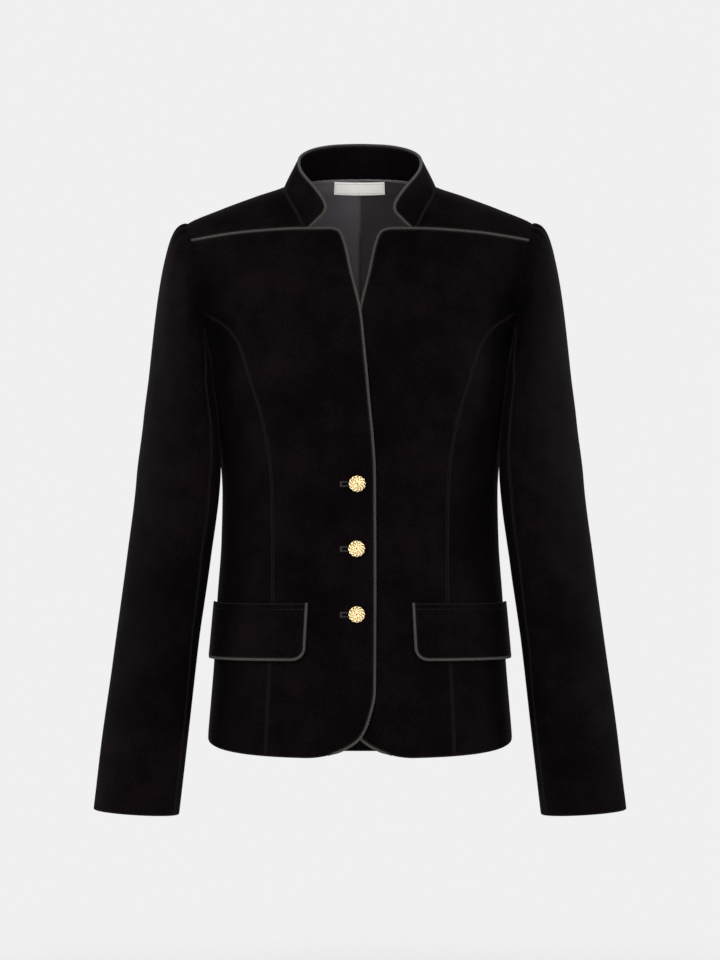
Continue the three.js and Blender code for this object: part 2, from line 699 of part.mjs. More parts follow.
// Round cord through the points given, closed at both ends
function cordGeometry(line) {
  const rings = line.map((point, i) => {
    const run = line[Math.min(i + 1, line.length - 1)].clone().sub(line[Math.max(i - 1, 0)]).normalize();
    return { point, run };
  });
  let side = new THREE.Vector3(0, 1, 0);
  const points = [line[0].clone()];
  rings.forEach(({ point, run }) => {
    side = side.clone().addScaledVector(run, -side.dot(run)).normalize();
    const other = run.clone().cross(side);
    for (let i = 0; i < cordSides; i += 1) {
      const turn = (2 * Math.PI * i) / cordSides;
      const reach = side.clone().multiplyScalar(Math.cos(turn)).addScaledVector(other, Math.sin(turn));
      points.push(point.clone().addScaledVector(reach, cordRadius));
    }
  });
  points.push(line[line.length - 1].clone());
  const at = (ring, i) => 1 + ring * cordSides + (i % cordSides);
  const index = [];
  for (let i = 0; i < cordSides; i += 1) {
    index.push(0, at(0, i + 1), at(0, i));
    index.push(points.length - 1, at(line.length - 1, i), at(line.length - 1, i + 1));
    for (let ring = 0; ring < line.length - 1; ring += 1) {
      index.push(at(ring, i), at(ring, i + 1), at(ring + 1, i + 1));
      index.push(at(ring, i), at(ring + 1, i + 1), at(ring + 1, i));
    }
  }
  return closedGeometry(points, index);
}

// Cord of a front: along the yoke, round the corner, down the edge and round the cutaway, where
// its end sinks out of sight at the hem; each stretch is stepped as finely as it bends
function frontCordPoints(lap) {
  const beforeCorner = piped[pipedCornerRow - 1].run;
  const afterCorner = piped[pipedCornerRow + 1].run + 5;
  const straightEnd = piped[pipedStraightRow].run;
  const stretches = [
    { steps: 7, from: 1.6, to: neckRun },
    { steps: 3, from: neckRun, to: beforeCorner },
    { steps: 6, from: beforeCorner, to: afterCorner },
    { steps: 16, from: afterCorner, to: straightEnd },
    { steps: 9, from: straightEnd, to: pipedLength - 0.5 },
  ];
  const runs = stretches.flatMap(({ steps, from, to }, i) => (
    stepped(steps, from, to, (run) => run).slice(i === 0 ? 0 : 1)
  ));
  return runs.map((run) => {
    const at = pipedPlace(run, 0);
    const across = Math.abs(bodyFace(at.angle, at.z).x);
    const near = 1 - THREE.MathUtils.smoothstep(across, lapFull, lapNone);
    const tuck = cordEndTuck * THREE.MathUtils.smoothstep(run, pipedLength - cordEndLength, pipedLength);
    return bodyPoint(at.angle, at.z, lap * near - cordRise - tuck);
  });
}

// Step from an edge point away from the cloth, square to the edge's run
function beside(point, neighbour, run, distance) {
  const away = point.clone().sub(neighbour);
  return away.addScaledVector(run, -away.dot(run)).setLength(distance);
}

// Cord along the collar's top line and down the front of each wing
function collarCordPoints(outer, inner) {
  const middle = (j, row) => {
    const base = Math.floor(row);
    const next = Math.min(base + 1, collarRows);
    const [face, back] = [outer, inner].map((grid) => grid[j][base].clone().lerp(grid[j][next], row - base));
    return face.lerp(back, 0.5);
  };
  const last = outer.length - 1;
  const above = (j) => {
    const run = middle(Math.min(j + 1, last), collarRows).sub(middle(Math.max(j - 1, 0), collarRows)).normalize();
    return beside(middle(j, collarRows), middle(j, collarRows - 1), run, cordRoom);
  };
  const ahead = (j, next, row) => {
    const run = middle(j, Math.min(row + 0.5, collarRows)).sub(middle(j, Math.max(row - 0.5, 0))).normalize();
    return beside(middle(j, row), middle(next, row), run, cordRoom);
  };
  const wing = (j, next) => [
    middle(j, collarRows).add(above(j)).add(ahead(j, next, collarRows)),
    ...wingCordRows.map((row) => middle(j, row).add(ahead(j, next, row))),
  ];
  const top = stepped(last - 2, 1, last - 1, (j) => middle(j, collarRows).add(above(j)));
  return [...wing(0, 1).reverse(), ...top, ...wing(last, last - 1)];
}

// Lining of the back, hanging inside the back panels from side to side
function liningWallGrids() {
  const half = backPlaces();
  const lastColumn = half[0].length - 1;
  const pick = (row, column) => {
    const [j, i] = [Math.floor(row), Math.floor(column)];
    const [below, beyond] = [Math.min(j + 1, half.length - 1), Math.min(i + 1, lastColumn)];
    const mix = (key) => THREE.MathUtils.lerp(
      THREE.MathUtils.lerp(half[j][i][key], half[j][beyond][key], column - i),
      THREE.MathUtils.lerp(half[below][i][key], half[below][beyond][key], column - i),
      row - j,
    );
    return { angle: mix('angle'), z: mix('z') };
  };
  const columns = stepped(lastColumn - liningEdge, liningEdge, lastColumn, (column) => column);
  const places = liningRows.map((row) => {
    const rightSide = columns.map((column) => pick(row, column));
    const leftSide = rightSide.slice(0, -1).reverse();
    return [...rightSide, ...leftSide.map(({ angle, z }) => ({ angle: 2 * Math.PI - angle, z }))];
  });
  const face = (depth) => places.map((row) => row.map(({ angle, z }) => bodyPoint(angle, z, -depth)));
  const outside = wall + liningGap;
  return [face(outside), face(outside + liningWall)];
}

// Blank label sewn to the lining under the neck seam, lying on the lining's own faces
function labelGrids(liningInner) {
  const pick = (row, column) => {
    const [j, i] = [Math.floor(row), Math.floor(column)];
    const along = (line) => line[i].clone().lerp(line[i + 1], column - i);
    return along(liningInner[j]).lerp(along(liningInner[j + 1]), row - j);
  };
  const columns = labelColumns.map((column) => backNeckSteps - liningEdge + column);
  const grid = labelRows.map((row) => columns.map((column) => pick(row, column)));
  const normals = gridNormals(grid);
  const facing = Math.sign(normals[0][3].y);
  const face = (out) => grid.map((row, j) => row.map((p, i) => p.clone().addScaledVector(normals[j][i], -facing * out)));
  return [face(closeGap + labelWall), face(closeGap)];
}

// Gilt button: a scalloped knot on a short shank, its axis along +Z
function buttonGeometry() {
  const around = 2 * buttonLobes;
  const profile = [
    { radius: shankRadius, z: 0 },
    { radius: shankRadius, z: shankHeight },
    { radius: buttonRadius * 0.8, z: shankHeight + 0.3 },
    { radius: buttonRadius, z: shankHeight + 1.2 },
    { radius: buttonRadius * 0.93, z: shankHeight + 2.4 },
    { radius: buttonRadius * 0.62, z: shankHeight + 3.3 },
  ];
  const points = [new THREE.Vector3(0, 0, 0)];
  profile.forEach(({ radius, z }) => {
    const lobed = z > shankHeight ? buttonLobeDepth : 0;
    for (let i = 0; i < around; i += 1) {
      const turn = (2 * Math.PI * i) / around;
      const reach = radius + lobed * Math.cos(buttonLobes * turn);
      points.push(new THREE.Vector3(reach * Math.cos(turn), reach * Math.sin(turn), z));
    }
  });
  points.push(new THREE.Vector3(0, 0, shankHeight + buttonHeight));
  const index = [];
  const at = (ring, i) => 1 + ring * around + (i % around);
  for (let i = 0; i < around; i += 1) {
    index.push(0, at(0, i + 1), at(0, i));
    index.push(points.length - 1, at(profile.length - 1, i), at(profile.length - 1, i + 1));
    for (let ring = 0; ring < profile.length - 1; ring += 1) {
      index.push(at(ring, i), at(ring, i + 1), at(ring + 1, i + 1));
      index.push(at(ring, i), at(ring + 1, i + 1), at(ring + 1, i));
    }
  }
  return closedGeometry(points, index);
}

// Buttons stand square on the top front, just off its face
function addButtons() {
  const front = jacket.getObjectByName('front_right');
  buttonPlaces.forEach(({ x, z }, i) => {
    const ray = new THREE.Raycaster(new THREE.Vector3(x, -300, z), new THREE.Vector3(0, 1, 0));
    const [hit] = ray.intersectObject(front);
    const mesh = new THREE.Mesh(buttonGeometry(), giltMetal);
    mesh.name = `button_${i + 1}`;
    mesh.position.copy(hit.point).addScaledVector(hit.face.normal, closeGap);
    mesh.quaternion.setFromUnitVectors(new THREE.Vector3(0, 0, 1), hit.face.normal);
    jacket.add(mesh);
  });
}

for (const side of ['right', 'left']) {
  const lap = side === 'right' ? lapOver : lapUnder;
  addShell('front', ...bodyWall(frontPlaces(), lap), velvet, side);
  addShell('side_front', ...bodyWall(sideFrontPlaces()), velvet, side);
  addShell('yoke', ...bodyWall(yokePlaces()), velvet, side);
  addShell('back', ...bodyWall(backPlaces()), velvet, side);
  addShell('sleeve_top', ...sleeveWall(topSleeveTurns), velvet, side);
  addShell('sleeve_under', ...sleeveWall(underSleeveTurns), velvet, side);
  addShell('flap', ...flapWall(), velvet, side);
  const turn = side === 'left' ? mirrored : (grid) => grid;
  addMesh(`piping_front_${side}`, cordGeometry(turn([frontCordPoints(lap)])[0]), cordTrim);
  addMesh(`piping_flap_${side}`, cordGeometry(turn([flapCordPoints()])[0]), cordTrim);
}

const [collarOuter, collarInner] = collarWall();
addMesh('collar', shell(collarOuter, collarInner), velvet);
addMesh('piping_collar', cordGeometry(collarCordPoints(collarOuter, collarInner)), cordTrim);

const [liningOuter, liningInner] = liningWallGrids();
addMesh('lining_back', shell(liningOuter, liningInner, backNeckSteps - liningEdge), satin);
addMesh('label', shell(...labelGrids(liningInner)), labelCloth);
addButtons();

export default jacket;
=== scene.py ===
# %% [markdown]
# # A stand collar blazer in velvet
#
# The jacket is shown filled out as if it were worn, with nothing inside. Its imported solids
# fix the size and the place of every piece. This lesson makes the fine cloth, cords, buttons
# and stitches over them. All sizes are in millimetres, and each mesh is turned to metres
# only when it is made.

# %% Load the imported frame
import math
import bpy
import numpy as np
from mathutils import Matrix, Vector


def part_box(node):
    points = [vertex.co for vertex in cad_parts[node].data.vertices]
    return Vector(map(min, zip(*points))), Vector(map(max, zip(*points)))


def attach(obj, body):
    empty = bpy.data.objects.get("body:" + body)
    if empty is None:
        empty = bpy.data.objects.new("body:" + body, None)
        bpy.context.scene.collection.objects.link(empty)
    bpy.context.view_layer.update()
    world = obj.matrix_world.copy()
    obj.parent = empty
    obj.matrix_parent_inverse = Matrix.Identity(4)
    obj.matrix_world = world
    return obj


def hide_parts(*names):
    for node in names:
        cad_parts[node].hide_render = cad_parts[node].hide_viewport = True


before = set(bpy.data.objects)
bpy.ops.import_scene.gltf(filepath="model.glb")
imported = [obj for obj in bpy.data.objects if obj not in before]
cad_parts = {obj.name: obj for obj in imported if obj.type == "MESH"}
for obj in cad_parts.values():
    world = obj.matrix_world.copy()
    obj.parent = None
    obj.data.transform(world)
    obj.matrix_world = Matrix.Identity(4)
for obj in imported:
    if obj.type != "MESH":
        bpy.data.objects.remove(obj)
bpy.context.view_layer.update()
METRE = 0.001
made = {}
print("solids:", len(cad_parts))

# %% [markdown]
# ## Tables and smooth steps
#
# A garment is drafted from a few measured levels. Each table below has a row for a level or
# a point of a seam, and `between` runs a smooth curve through one of its columns. Its
# tangents never overshoot, so a waist stays a waist and does not ripple.

# %% Read a table smoothly
def table(names, rows):
    return dict(zip(names.split(), np.array(rows, float).T))


def between(rows, key, column, at):
    x, y = rows[key], rows[column]
    if x[0] > x[-1]:
        x, y = x[::-1], y[::-1]
    slope = np.diff(y) / np.diff(x)
    before, after = slope[:-1], slope[1:]
    agree = before * after > 0
    middle = np.where(agree, 2 * before * after / np.where(agree, before + after, 1), 0)
    tangent = np.concatenate([slope[:1], middle, slope[-1:]])
    at = np.clip(at, x[0], x[-1])
    i = np.clip(np.searchsorted(x, at, side="right") - 1, 0, len(x) - 2)
    span = x[i + 1] - x[i]
    t = (at - x[i]) / span
    rest = 1 - t
    ends = y[i] * (1 + 2 * t) * rest**2 + y[i + 1] * t**2 * (3 - 2 * t)
    return ends + span * t * rest * (tangent[i] * rest - tangent[i + 1] * t)


def smooth(value, start, end):
    t = np.clip((np.asarray(value, float) - start) / (end - start), 0, 1)
    return t * t * (3 - 2 * t)


def measured(rows):
    steps = np.hypot(np.diff(rows["x"]), np.diff(rows["z"]))
    return {**rows, "run": np.concatenate([[0], np.cumsum(steps)])}


def unit(vectors):
    return vectors / np.maximum(np.linalg.norm(vectors, axis=-1, keepdims=True), 1e-12)


# %% [markdown]
# ## The body's outer face
#
# The trunk is a stack of rounded rings: narrow at the neck, wide at the shoulders, drawn in
# at the waist and flared over the hips. A point on it is given by an angle, measured from
# the middle of the front towards the wearer's right, and by its height. All the panels are
# patches of this one face, so that neighbours meet along their seams.

# %% Body face
WALL = 2.4
BODY = table("z half_width front back square", [
    (40, 62, 58, 62, 2.1),
    (16, 68, 60, 68, 2.1),
    (8, 74, 61, 71, 2.1),
    (0, 81.3, 62, 74, 2.1),
    (-12, 114.6, 66, 79, 2.1),
    (-25, 150, 68, 84, 2.1),
    (-42, 188, 70, 90, 2.15),
    (-61, 202, 74, 95, 2.2),
    (-88, 202, 83, 100, 2.3),
    (-125, 186, 95, 104, 2.4),
    (-160, 167, 107, 105, 2.4),
    (-178, 160.5, 112, 104, 2.4),
    (-208, 158.8, 117, 101, 2.4),
    (-251, 155, 113, 93, 2.3),
    (-294, 150, 104, 85, 2.2),
    (-330, 148, 99, 82, 2.2),
    (-380, 149, 98, 85, 2.3),
    (-445, 153.4, 102, 96, 2.5),
    (-509, 156.6, 107, 107, 2.6),
    (-552, 160, 110, 112, 2.7),
    (-589, 163, 113, 116, 2.8),
    (-640, 166, 115, 119, 2.8),
])
ANGLE_NUDGE = 0.004
HEIGHT_NUDGE = 0.4


def level(column, z):
    return between(BODY, "z", column, z)


def body_face(angle, z):
    square = level("square", z)
    depth = np.where(np.cos(angle) > 0, level("front", z), level("back", z))
    across = (np.abs(np.sin(angle)) / level("half_width", z)) ** square
    along = (np.abs(np.cos(angle)) / depth) ** square
    radius = (across + along) ** (-1 / square)
    return np.stack([-radius * np.sin(angle), -radius * np.cos(angle), z + 0 * radius], -1)


def body_normal(angle, z):
    along_angle = body_face(angle + ANGLE_NUDGE, z) - body_face(angle - ANGLE_NUDGE, z)
    along_height = body_face(angle, z + HEIGHT_NUDGE) - body_face(angle, z - HEIGHT_NUDGE)
    return unit(np.cross(along_height, along_angle))


def body_point(angle, z, out):
    return body_face(angle, z) + body_normal(angle, z) * np.asarray(out)[..., None]


def angle_across(x, z, depth="front"):
    square = level("square", z)
    rest = np.maximum(0, 1 - (np.abs(x) / level("half_width", z)) ** square)
    return np.arctan2(x, level(depth, z) * rest ** (1 / square))


# %% [markdown]
# ## Seam lines
#
# The seams follow the photo: a high armhole, a yoke seam that carries the piping to the
# front edge, the princess seam from the armhole over the bust to the hem, a side seam and a
# centre back seam. Every line is a function that gives places, which are pairs of an angle
# and a height.

# %% Armhole, hem and straight seams
SHOULDER_TIP_Z = -41
BACK_NECK_Z = 16
UNDERARM_Z = -178
SIDE_HEM_Z = -589
FRONT_HEM_DROP = 15.5
BACK_HEM_DROP = 29
BACK_HEM_Z = SIDE_HEM_Z - BACK_HEM_DROP
BACK_NECK_CURVE = 2.2
HEM_LEVEL = -600
ARMHOLE_FRONT_DEPTH = 52
ARMHOLE_BACK_DEPTH = 55
FRONT_SEAM_ANGLE = 0.785
PRINCESS_START = 2.0


def places(angle, z):
    return np.stack(np.broadcast_arrays(np.asarray(angle, float), np.asarray(z, float)), -1)


def armhole(turn):
    turn = np.asarray(turn, float)
    middle, half = (SHOULDER_TIP_Z + UNDERARM_Z) / 2, (SHOULDER_TIP_Z - UNDERARM_Z) / 2
    z = middle + half * np.cos(turn)
    ahead = turn > 0
    y = np.where(ahead, ARMHOLE_FRONT_DEPTH, ARMHOLE_BACK_DEPTH) * np.abs(np.sin(turn))
    depth = np.where(ahead, level("front", z), level("back", z))
    square = level("square", z)
    x = level("half_width", z) * (1 - (y / depth) ** square) ** (1 / square)
    return places(np.arctan2(x, np.where(ahead, y, -y)), z)


def hem(angle):
    ahead = np.cos(angle) > 0
    depth = np.where(ahead, level("front", HEM_LEVEL), level("back", HEM_LEVEL))
    share = np.abs(body_face(angle, HEM_LEVEL)[..., 1]) / depth
    return places(angle, SIDE_HEM_Z - share * np.where(ahead, FRONT_HEM_DROP, BACK_HEM_DROP))


def side_seam(share):
    return places(math.pi / 2, UNDERARM_Z + (SIDE_HEM_Z - UNDERARM_Z) * share)


def back_neck(share):
    return places(math.pi / 2 * (1 + share), BACK_NECK_Z * (1 - (1 - share) ** BACK_NECK_CURVE))


def shoulder_line(share):
    ridge = {name: column[3:7] for name, column in BODY.items()}
    tip = between(ridge, "z", "half_width", SHOULDER_TIP_Z)
    neck = ridge["half_width"][0]
    return places(math.pi / 2, between(ridge, "half_width", "z", neck + (tip - neck) * share))


# %% Princess seam, neck seam and the piped line
PRINCESS = table("z x", [
    (-154.8, 141), (-171.5, 128.5), (-213.2, 114), (-245.5, 104), (-281, 96.7),
    (-313.3, 93), (-341.5, 92), (-440.6, 91.5), (-506.3, 94.6), (-604, 98.7),
])
FRONT_NECK = measured(table("x z", [
    (81.3, 0), (80.6, -4), (77.4, -13.2), (67.1, -32.1), (59.4, -47.4),
]))
PIPED = measured(table("x z", [
    (-181, -60.6), (-121, -53.2), (-59, -50.2), (-32, -50.3), (-23, -53), (-18.3, -60.5),
    (-9.5, -98), (0.5, -141.5), (3.9, -175.3), (8, -219), (15.1, -313.3), (15.6, -440),
    (15.1, -533.6), (8.8, -564.8), (0.5, -582.4), (-10.9, -591.8), (-33.8, -602.4),
]))
NECK_RUN, CORNER_RUN, PIPED_LENGTH = PIPED["run"][[2, 4, -1]]


def princess(share):
    start = armhole(PRINCESS_START)
    top_x = -body_face(*start)[0]
    rows = {"z": np.append(start[1], PRINCESS["z"]), "x": np.append(top_x, PRINCESS["x"])}
    foot_z = hem(angle_across(PRINCESS["x"][-1], HEM_LEVEL))[1]
    z = start[1] + (foot_z - start[1]) * np.asarray(share, float)
    return places(angle_across(between(rows, "z", "x", z), z), z)


def front_neck(share):
    run = np.asarray(share, float) * FRONT_NECK["run"][-1]
    z = between(FRONT_NECK, "run", "z", run)
    return places(angle_across(between(FRONT_NECK, "run", "x", run), z), z)


def piped_line(run, out=0.0):
    def spot(at):
        return np.stack([between(PIPED, "run", "x", at), between(PIPED, "run", "z", at)], -1)

    run = np.asarray(run, float)
    ahead = unit(spot(np.minimum(run + 1, PIPED_LENGTH)) - spot(np.maximum(run - 1, 0)))
    x = spot(run)[..., 0] - out * ahead[..., 1]
    z = spot(run)[..., 1] + out * ahead[..., 0]
    return places(angle_across(-x, z), z)


print("piped line of each front:", round(PIPED_LENGTH), "mm")

# %% [markdown]
# ## From seam lines to a grid
#
# Four seam lines bound each panel. A Coons patch blends them into a grid, as a pattern
# cutter would fair the cloth between them. The rows lie close together beside the seams,
# where the cloth rolls over, and wider apart in the middle. The inner face of the wall needs
# less: it takes every third row and column.

# %% Borders, spacing and the patch
CLOTH_STEP = 3.6
EDGE_STEP = 0.6
STEP_GROWTH = 1.45
INNER_EVERY = 3


def border(*parts):
    line = np.vstack(parts)
    steps = np.linalg.norm(np.diff(body_face(line[:, 0], line[:, 1]), axis=0), axis=1)
    return line, np.concatenate([[0], np.cumsum(steps)])


def resample(line, shares):
    spots, run = line
    return np.stack([np.interp(shares * run[-1], run, spots[:, k]) for k in (0, 1)], -1)


def spread(length, step=CLOTH_STEP, fine=EDGE_STEP):
    edge = [fine]
    while edge[-1] * STEP_GROWTH < step:
        edge.append(edge[-1] * STEP_GROWTH)
    middle = max(length - 2 * sum(edge), step)
    count = max(1, round(middle / step))
    count += -(2 * len(edge) + count) % INNER_EVERY
    run = np.cumsum([0, *edge, *[middle / count] * count, *edge[::-1]])
    return run / run[-1]


def coons(top, bottom, left, right):
    down = spread(max(left[1][-1], right[1][-1]))
    across = spread(max(top[1][-1], bottom[1][-1]))
    v, u = down[:, None, None], across[None, :, None]
    top, bottom = resample(top, across), resample(bottom, across)
    left, right = resample(left, down), resample(right, down)
    sides = left[:, None] * (1 - u) + right[:, None] * u
    ends = (top - top[0] * (1 - u) - top[-1] * u) * (1 - v)
    feet = (bottom - bottom[0] * (1 - u) - bottom[-1] * u) * v
    return sides + ends + feet


# %% [markdown]
# ## Turning a grid into cloth
#
# Cloth has two faces and a folded edge. The outer grid and the sparser inner grid are joined
# by a rim of faces, so each piece is one closed mesh. Numbers that the finishes need, such
# as the distance to the nearest seam, are stored on the points.

# %% Build a mesh from points and faces
def add_object(name, points, faces, materials, slots=None, marks=None):
    fans = [(f[:, 0], f[:, k], f[:, k + 1]) for f in faces for k in range(1, f.shape[1] - 1)]
    volume = sum(np.einsum("ij,ij->i", points[a], np.cross(points[b], points[c])).sum()
                 for a, b, c in fans)
    if volume < 0:
        faces = [f[:, ::-1] for f in faces]
    mesh = bpy.data.meshes.new(name)
    corners = np.concatenate([f.ravel() for f in faces])
    sizes = np.concatenate([np.full(len(f), f.shape[1]) for f in faces])
    mesh.vertices.add(len(points))
    mesh.vertices.foreach_set("co", (points * METRE).astype(np.float32).ravel())
    mesh.loops.add(len(corners))
    mesh.loops.foreach_set("vertex_index", corners.astype(np.int32))
    mesh.polygons.add(len(sizes))
    starts = np.concatenate([[0], np.cumsum(sizes)[:-1]])
    mesh.polygons.foreach_set("loop_start", starts.astype(np.int32))
    for material in materials:
        mesh.materials.append(material)
    if slots is not None:
        mesh.polygons.foreach_set("material_index", np.concatenate(slots).astype(np.int32))
    for mark, values in (marks or {}).items():
        layer = mesh.attributes.new(mark, "FLOAT", "POINT")
        layer.data.foreach_set("value", values.astype(np.float32).ravel())
    mesh.update(calc_edges=True)
    mesh.shade_smooth()
    piece = bpy.data.objects.new(name, mesh)
    bpy.context.collection.objects.link(piece)
    made[name] = piece
    return piece


# %% Join an outer and an inner grid into a wall
def grid_faces(index):
    rows = [index[:-1, :-1], index[1:, :-1], index[1:, 1:], index[:-1, 1:]]
    return np.stack(rows, -1).reshape(-1, 4)


def rim_faces(outer_line, inner_line):
    every = (len(outer_line) - 1) // (len(inner_line) - 1)
    return np.array([
        [*outer_line[k * every:(k + 1) * every + 1], inner_line[k + 1], inner_line[k]]
        for k in range(len(inner_line) - 1)
    ])


def add_wall(name, outer, inner, materials, marks=None, inner_slots=1):
    top = np.arange(outer[..., 0].size).reshape(outer.shape[:2])
    under = top.size + np.arange(inner[..., 0].size).reshape(inner.shape[:2])
    rims = [
        rim_faces(top[0], under[0]),
        rim_faces(top[::-1, 0], under[::-1, 0]),
        rim_faces(top[-1, ::-1], under[-1, ::-1]),
        rim_faces(top[:, -1], under[:, -1]),
    ]
    faces = [grid_faces(top), grid_faces(under)[:, ::-1], *rims]
    slots = [np.zeros(len(f)) for f in faces]
    slots[1] = np.broadcast_to(inner_slots, under[1:, 1:].shape).ravel()
    points = np.vstack([outer.reshape(-1, 3), inner.reshape(-1, 3)])
    return add_object(name, points, faces, materials, slots, marks)


def thinned(grid):
    return grid[::INNER_EVERY, ::INNER_EVERY]


# %% [markdown]
# ## Rolled seams and soft creases
#
# At a pressed seam both layers turn over and dive into the seam, so the line reads as a fine
# dark valley between two round edges. The same roll, seen alone, is the folded edge of a hem
# or cuff. Creases are few on a crisp interlined jacket: each is one row of a table, a soft
# trough or ridge that dies out at both ends.

# %% Distance to a line, roll and creases
ROLL = 1.05
PRESS_DEPTH = 0.2
PRESS_WIDTH = 3.5


def distance_to(points, line):
    best = np.full(points.shape[:-1], np.inf)
    for start, end in zip(line[:-1], line[1:]):
        run = end - start
        share = np.clip((points - start) @ run / max(run @ run, 1e-12), 0, 1)
        best = np.minimum(best, np.linalg.norm(points - start - share[..., None] * run, axis=-1))
    return best


def rolled(distance, radius=ROLL):
    near = np.clip(radius - distance, 0, radius)
    return radius - np.sqrt(radius**2 - near**2) + PRESS_DEPTH * np.exp(-distance / PRESS_WIDTH)


def creased(points, folds):
    depth = np.zeros(points.shape[:-1])
    for start, end, width, height in folds:
        run = end - start
        share = (points - start) @ run / (run @ run)
        gap = np.linalg.norm(points - start - np.clip(share, 0, 1)[..., None] * run, axis=-1)
        fade = np.clip(4 * (share + 0.15) * (1.15 - share) / 1.69, 0, 1)
        depth += height * np.exp(-((gap / width) ** 2)) * fade**1.5
    return depth


# %% [markdown]
# ## Shaders as sentences
#
# A finish is a small program. `Wire` stands for one number or colour that flows through it,
# and Python's own operators add the Math nodes, so a formula is read as it is written.

# %% Wires and paints
class Wire:
    def __init__(self, paint, socket):
        self.paint = paint
        self.socket = socket

    def maths(self, operation, first, second):
        return self.paint.node("ShaderNodeMath", {"operation": operation}, {0: first, 1: second})

    def __add__(self, other):
        return self.maths("ADD", self, other)

    def __radd__(self, other):
        return self.maths("ADD", other, self)

    def __sub__(self, other):
        return self.maths("SUBTRACT", self, other)

    def __rsub__(self, other):
        return self.maths("SUBTRACT", other, self)

    def __mul__(self, other):
        return self.maths("MULTIPLY", self, other)

    def __rmul__(self, other):
        return self.maths("MULTIPLY", other, self)

    def __pow__(self, other):
        return self.maths("POWER", self, other)


class Paint:
    def __init__(self, name):
        self.material = bpy.data.materials.new(name)
        self.material.use_nodes = True
        self.tree = self.material.node_tree
        self.tree.nodes.clear()

    def node(self, kind, settings=None, inputs=None, output=0):
        node = self.tree.nodes.new(kind)
        for name, value in (settings or {}).items():
            setattr(node, name, value)
        for key, value in (inputs or {}).items():
            socket = node.inputs[key]
            if isinstance(value, Wire):
                self.tree.links.new(value.socket, socket)
            elif socket.type == "RGBA":
                socket.default_value = (*value, 1)
            else:
                socket.default_value = value
        return Wire(self, node.outputs[output]) if node.outputs else None

    def mix(self, share, first, second):
        return self.node("ShaderNodeMix", {"data_type": "RGBA"}, {0: share, 6: first, 7: second}, 2)

    def noise(self, place, size, detail=2.0, rough=0.5):
        """Soft cloudy value from 0 to 1, with clouds about size millimetres across."""
        values = {"Vector": place, "Scale": 1 / (size * METRE), "Detail": detail, "Roughness": rough}
        return self.node("ShaderNodeTexNoise", {}, values)

    def steps(self, value, start, end):
        ends = {"Value": value, "From Min": start, "From Max": end}
        return self.node("ShaderNodeMapRange", {"interpolation_type": "SMOOTHSTEP"}, ends)

    def mark(self, name):
        return self.node("ShaderNodeAttribute", {"attribute_name": name}, {}, "Fac")

    def bump(self, height, distance, strength=1.0):
        values = {"Height": height, "Distance": distance * METRE, "Strength": strength}
        return self.node("ShaderNodeBump", {}, values)

    def finish(self, values):
        surface = self.node("ShaderNodeBsdfPrincipled", {}, values)
        self.node("ShaderNodeOutputMaterial", {}, {"Surface": surface})
        return self.material


# %% [markdown]
# ## Velvet
#
# Velvet is a dense pile of cut threads. Seen straight on, light falls between the threads
# and is lost, so the cloth is nearly black. Seen along the surface it catches the tips and
# shows a pale bloom, which is what the sheen lobe models. Where hands have brushed the nap
# the tone shifts in soft clouds. Along every edge a narrow band is painted lighter: beside
# pressed seams the pile lies flatter, and the band is also a painted highlight where the
# cloth rolls over. The last fraction of a millimetre of each edge, at the bottom of the
# seam valley, is painted shade.

# %% Velvet
def velvet():
    paint = Paint("velvet")
    place = paint.node("ShaderNodeTexCoord", {}, {}, "Object")
    clouds = paint.noise(place, 90, 2.0, 0.5)
    brushed = paint.noise(place, 24, 3.0, 0.55)
    pile = paint.noise(place, 1.5, 2.0, 0.7)
    # Painted highlight, partly pressed pile: a lighter band within about 2.4 mm of every edge, where the
    # cloth rolls over.
    seam = paint.steps(paint.mark("edge"), 0.8, 2.4)
    tone = paint.steps(0.3 * clouds + 0.25 * brushed + 0.45 * pile, 0.36, 0.64)
    nap = paint.mix(tone, (0.0005, 0.0002, 0.0003), (0.0036, 0.0018, 0.0025))
    pressed_pile_and_painted_edge_lighting = paint.mix(seam, (0.0076, 0.0056, 0.0062), nap)
    # Painted shade: a dark line in the last 0.6 mm of every edge, at the bottom of the seam valley or
    # fold.
    groove = paint.steps(paint.mark("edge"), 0.1, 0.6)
    pressed_pile_and_painted_edge_lighting = paint.mix(groove, (0.0004, 0.0003, 0.0003), pressed_pile_and_painted_edge_lighting)
    height = 0.4 * brushed + 0.4 * pile + 0.2 * paint.noise(place, 0.55, 2.0)
    return paint.finish({
        "Base Color": pressed_pile_and_painted_edge_lighting,
        "Roughness": 0.88 - 0.1 * tone,
        "Specular IOR Level": 0.03,
        "Sheen Weight": 0.02,
        "Sheen Roughness": 0.3,
        "Sheen Tint": (0.82, 0.68, 0.74),
        "Normal": paint.bump(height, 0.3, 0.7),
    })


# %% [markdown]
# ## Lining satin, cord, label, thread and gilt metal
#
# The satin is smooth and catches a soft gloss. The piping cord is spun from three plies: its
# ridges are painted paler, a painted highlight, and the hollows between them darker, a
# painted shade, and that is stored on its points.
# The buttons are cast in a gilt metal that is warm in the hollows and nearly white where it
# shines.

# %% Satin and label
def satin():
    paint = Paint("lining satin")
    place = paint.node("ShaderNodeTexCoord", {}, {}, "Object")
    drift = paint.noise(place, 45, 2.0)
    twill = paint.node("ShaderNodeTexWave", {"bands_direction": "DIAGONAL"}, {
        "Vector": place, "Scale": 420.0, "Distortion": 0.6, "Detail": 1.0})
    tone = 0.8 * drift + 0.2 * twill
    # lit and under are a lit and a painted-shade copy of the satin: the half of the back lining that lies
    # under the pleat is painted darker.
    lit = paint.mix(tone, (0.066, 0.060, 0.066), (0.094, 0.087, 0.094))
    under = paint.mix(tone, (0.024, 0.020, 0.022), (0.038, 0.032, 0.034))
    return paint.finish({
        "Base Color": paint.mix(paint.mark("under"), lit, under),
        "Roughness": 0.5 - 0.1 * twill,
        "Specular IOR Level": 0.42,
        "Sheen Weight": 0.06,
        "Normal": paint.bump(twill, 0.05, 0.5),
    })


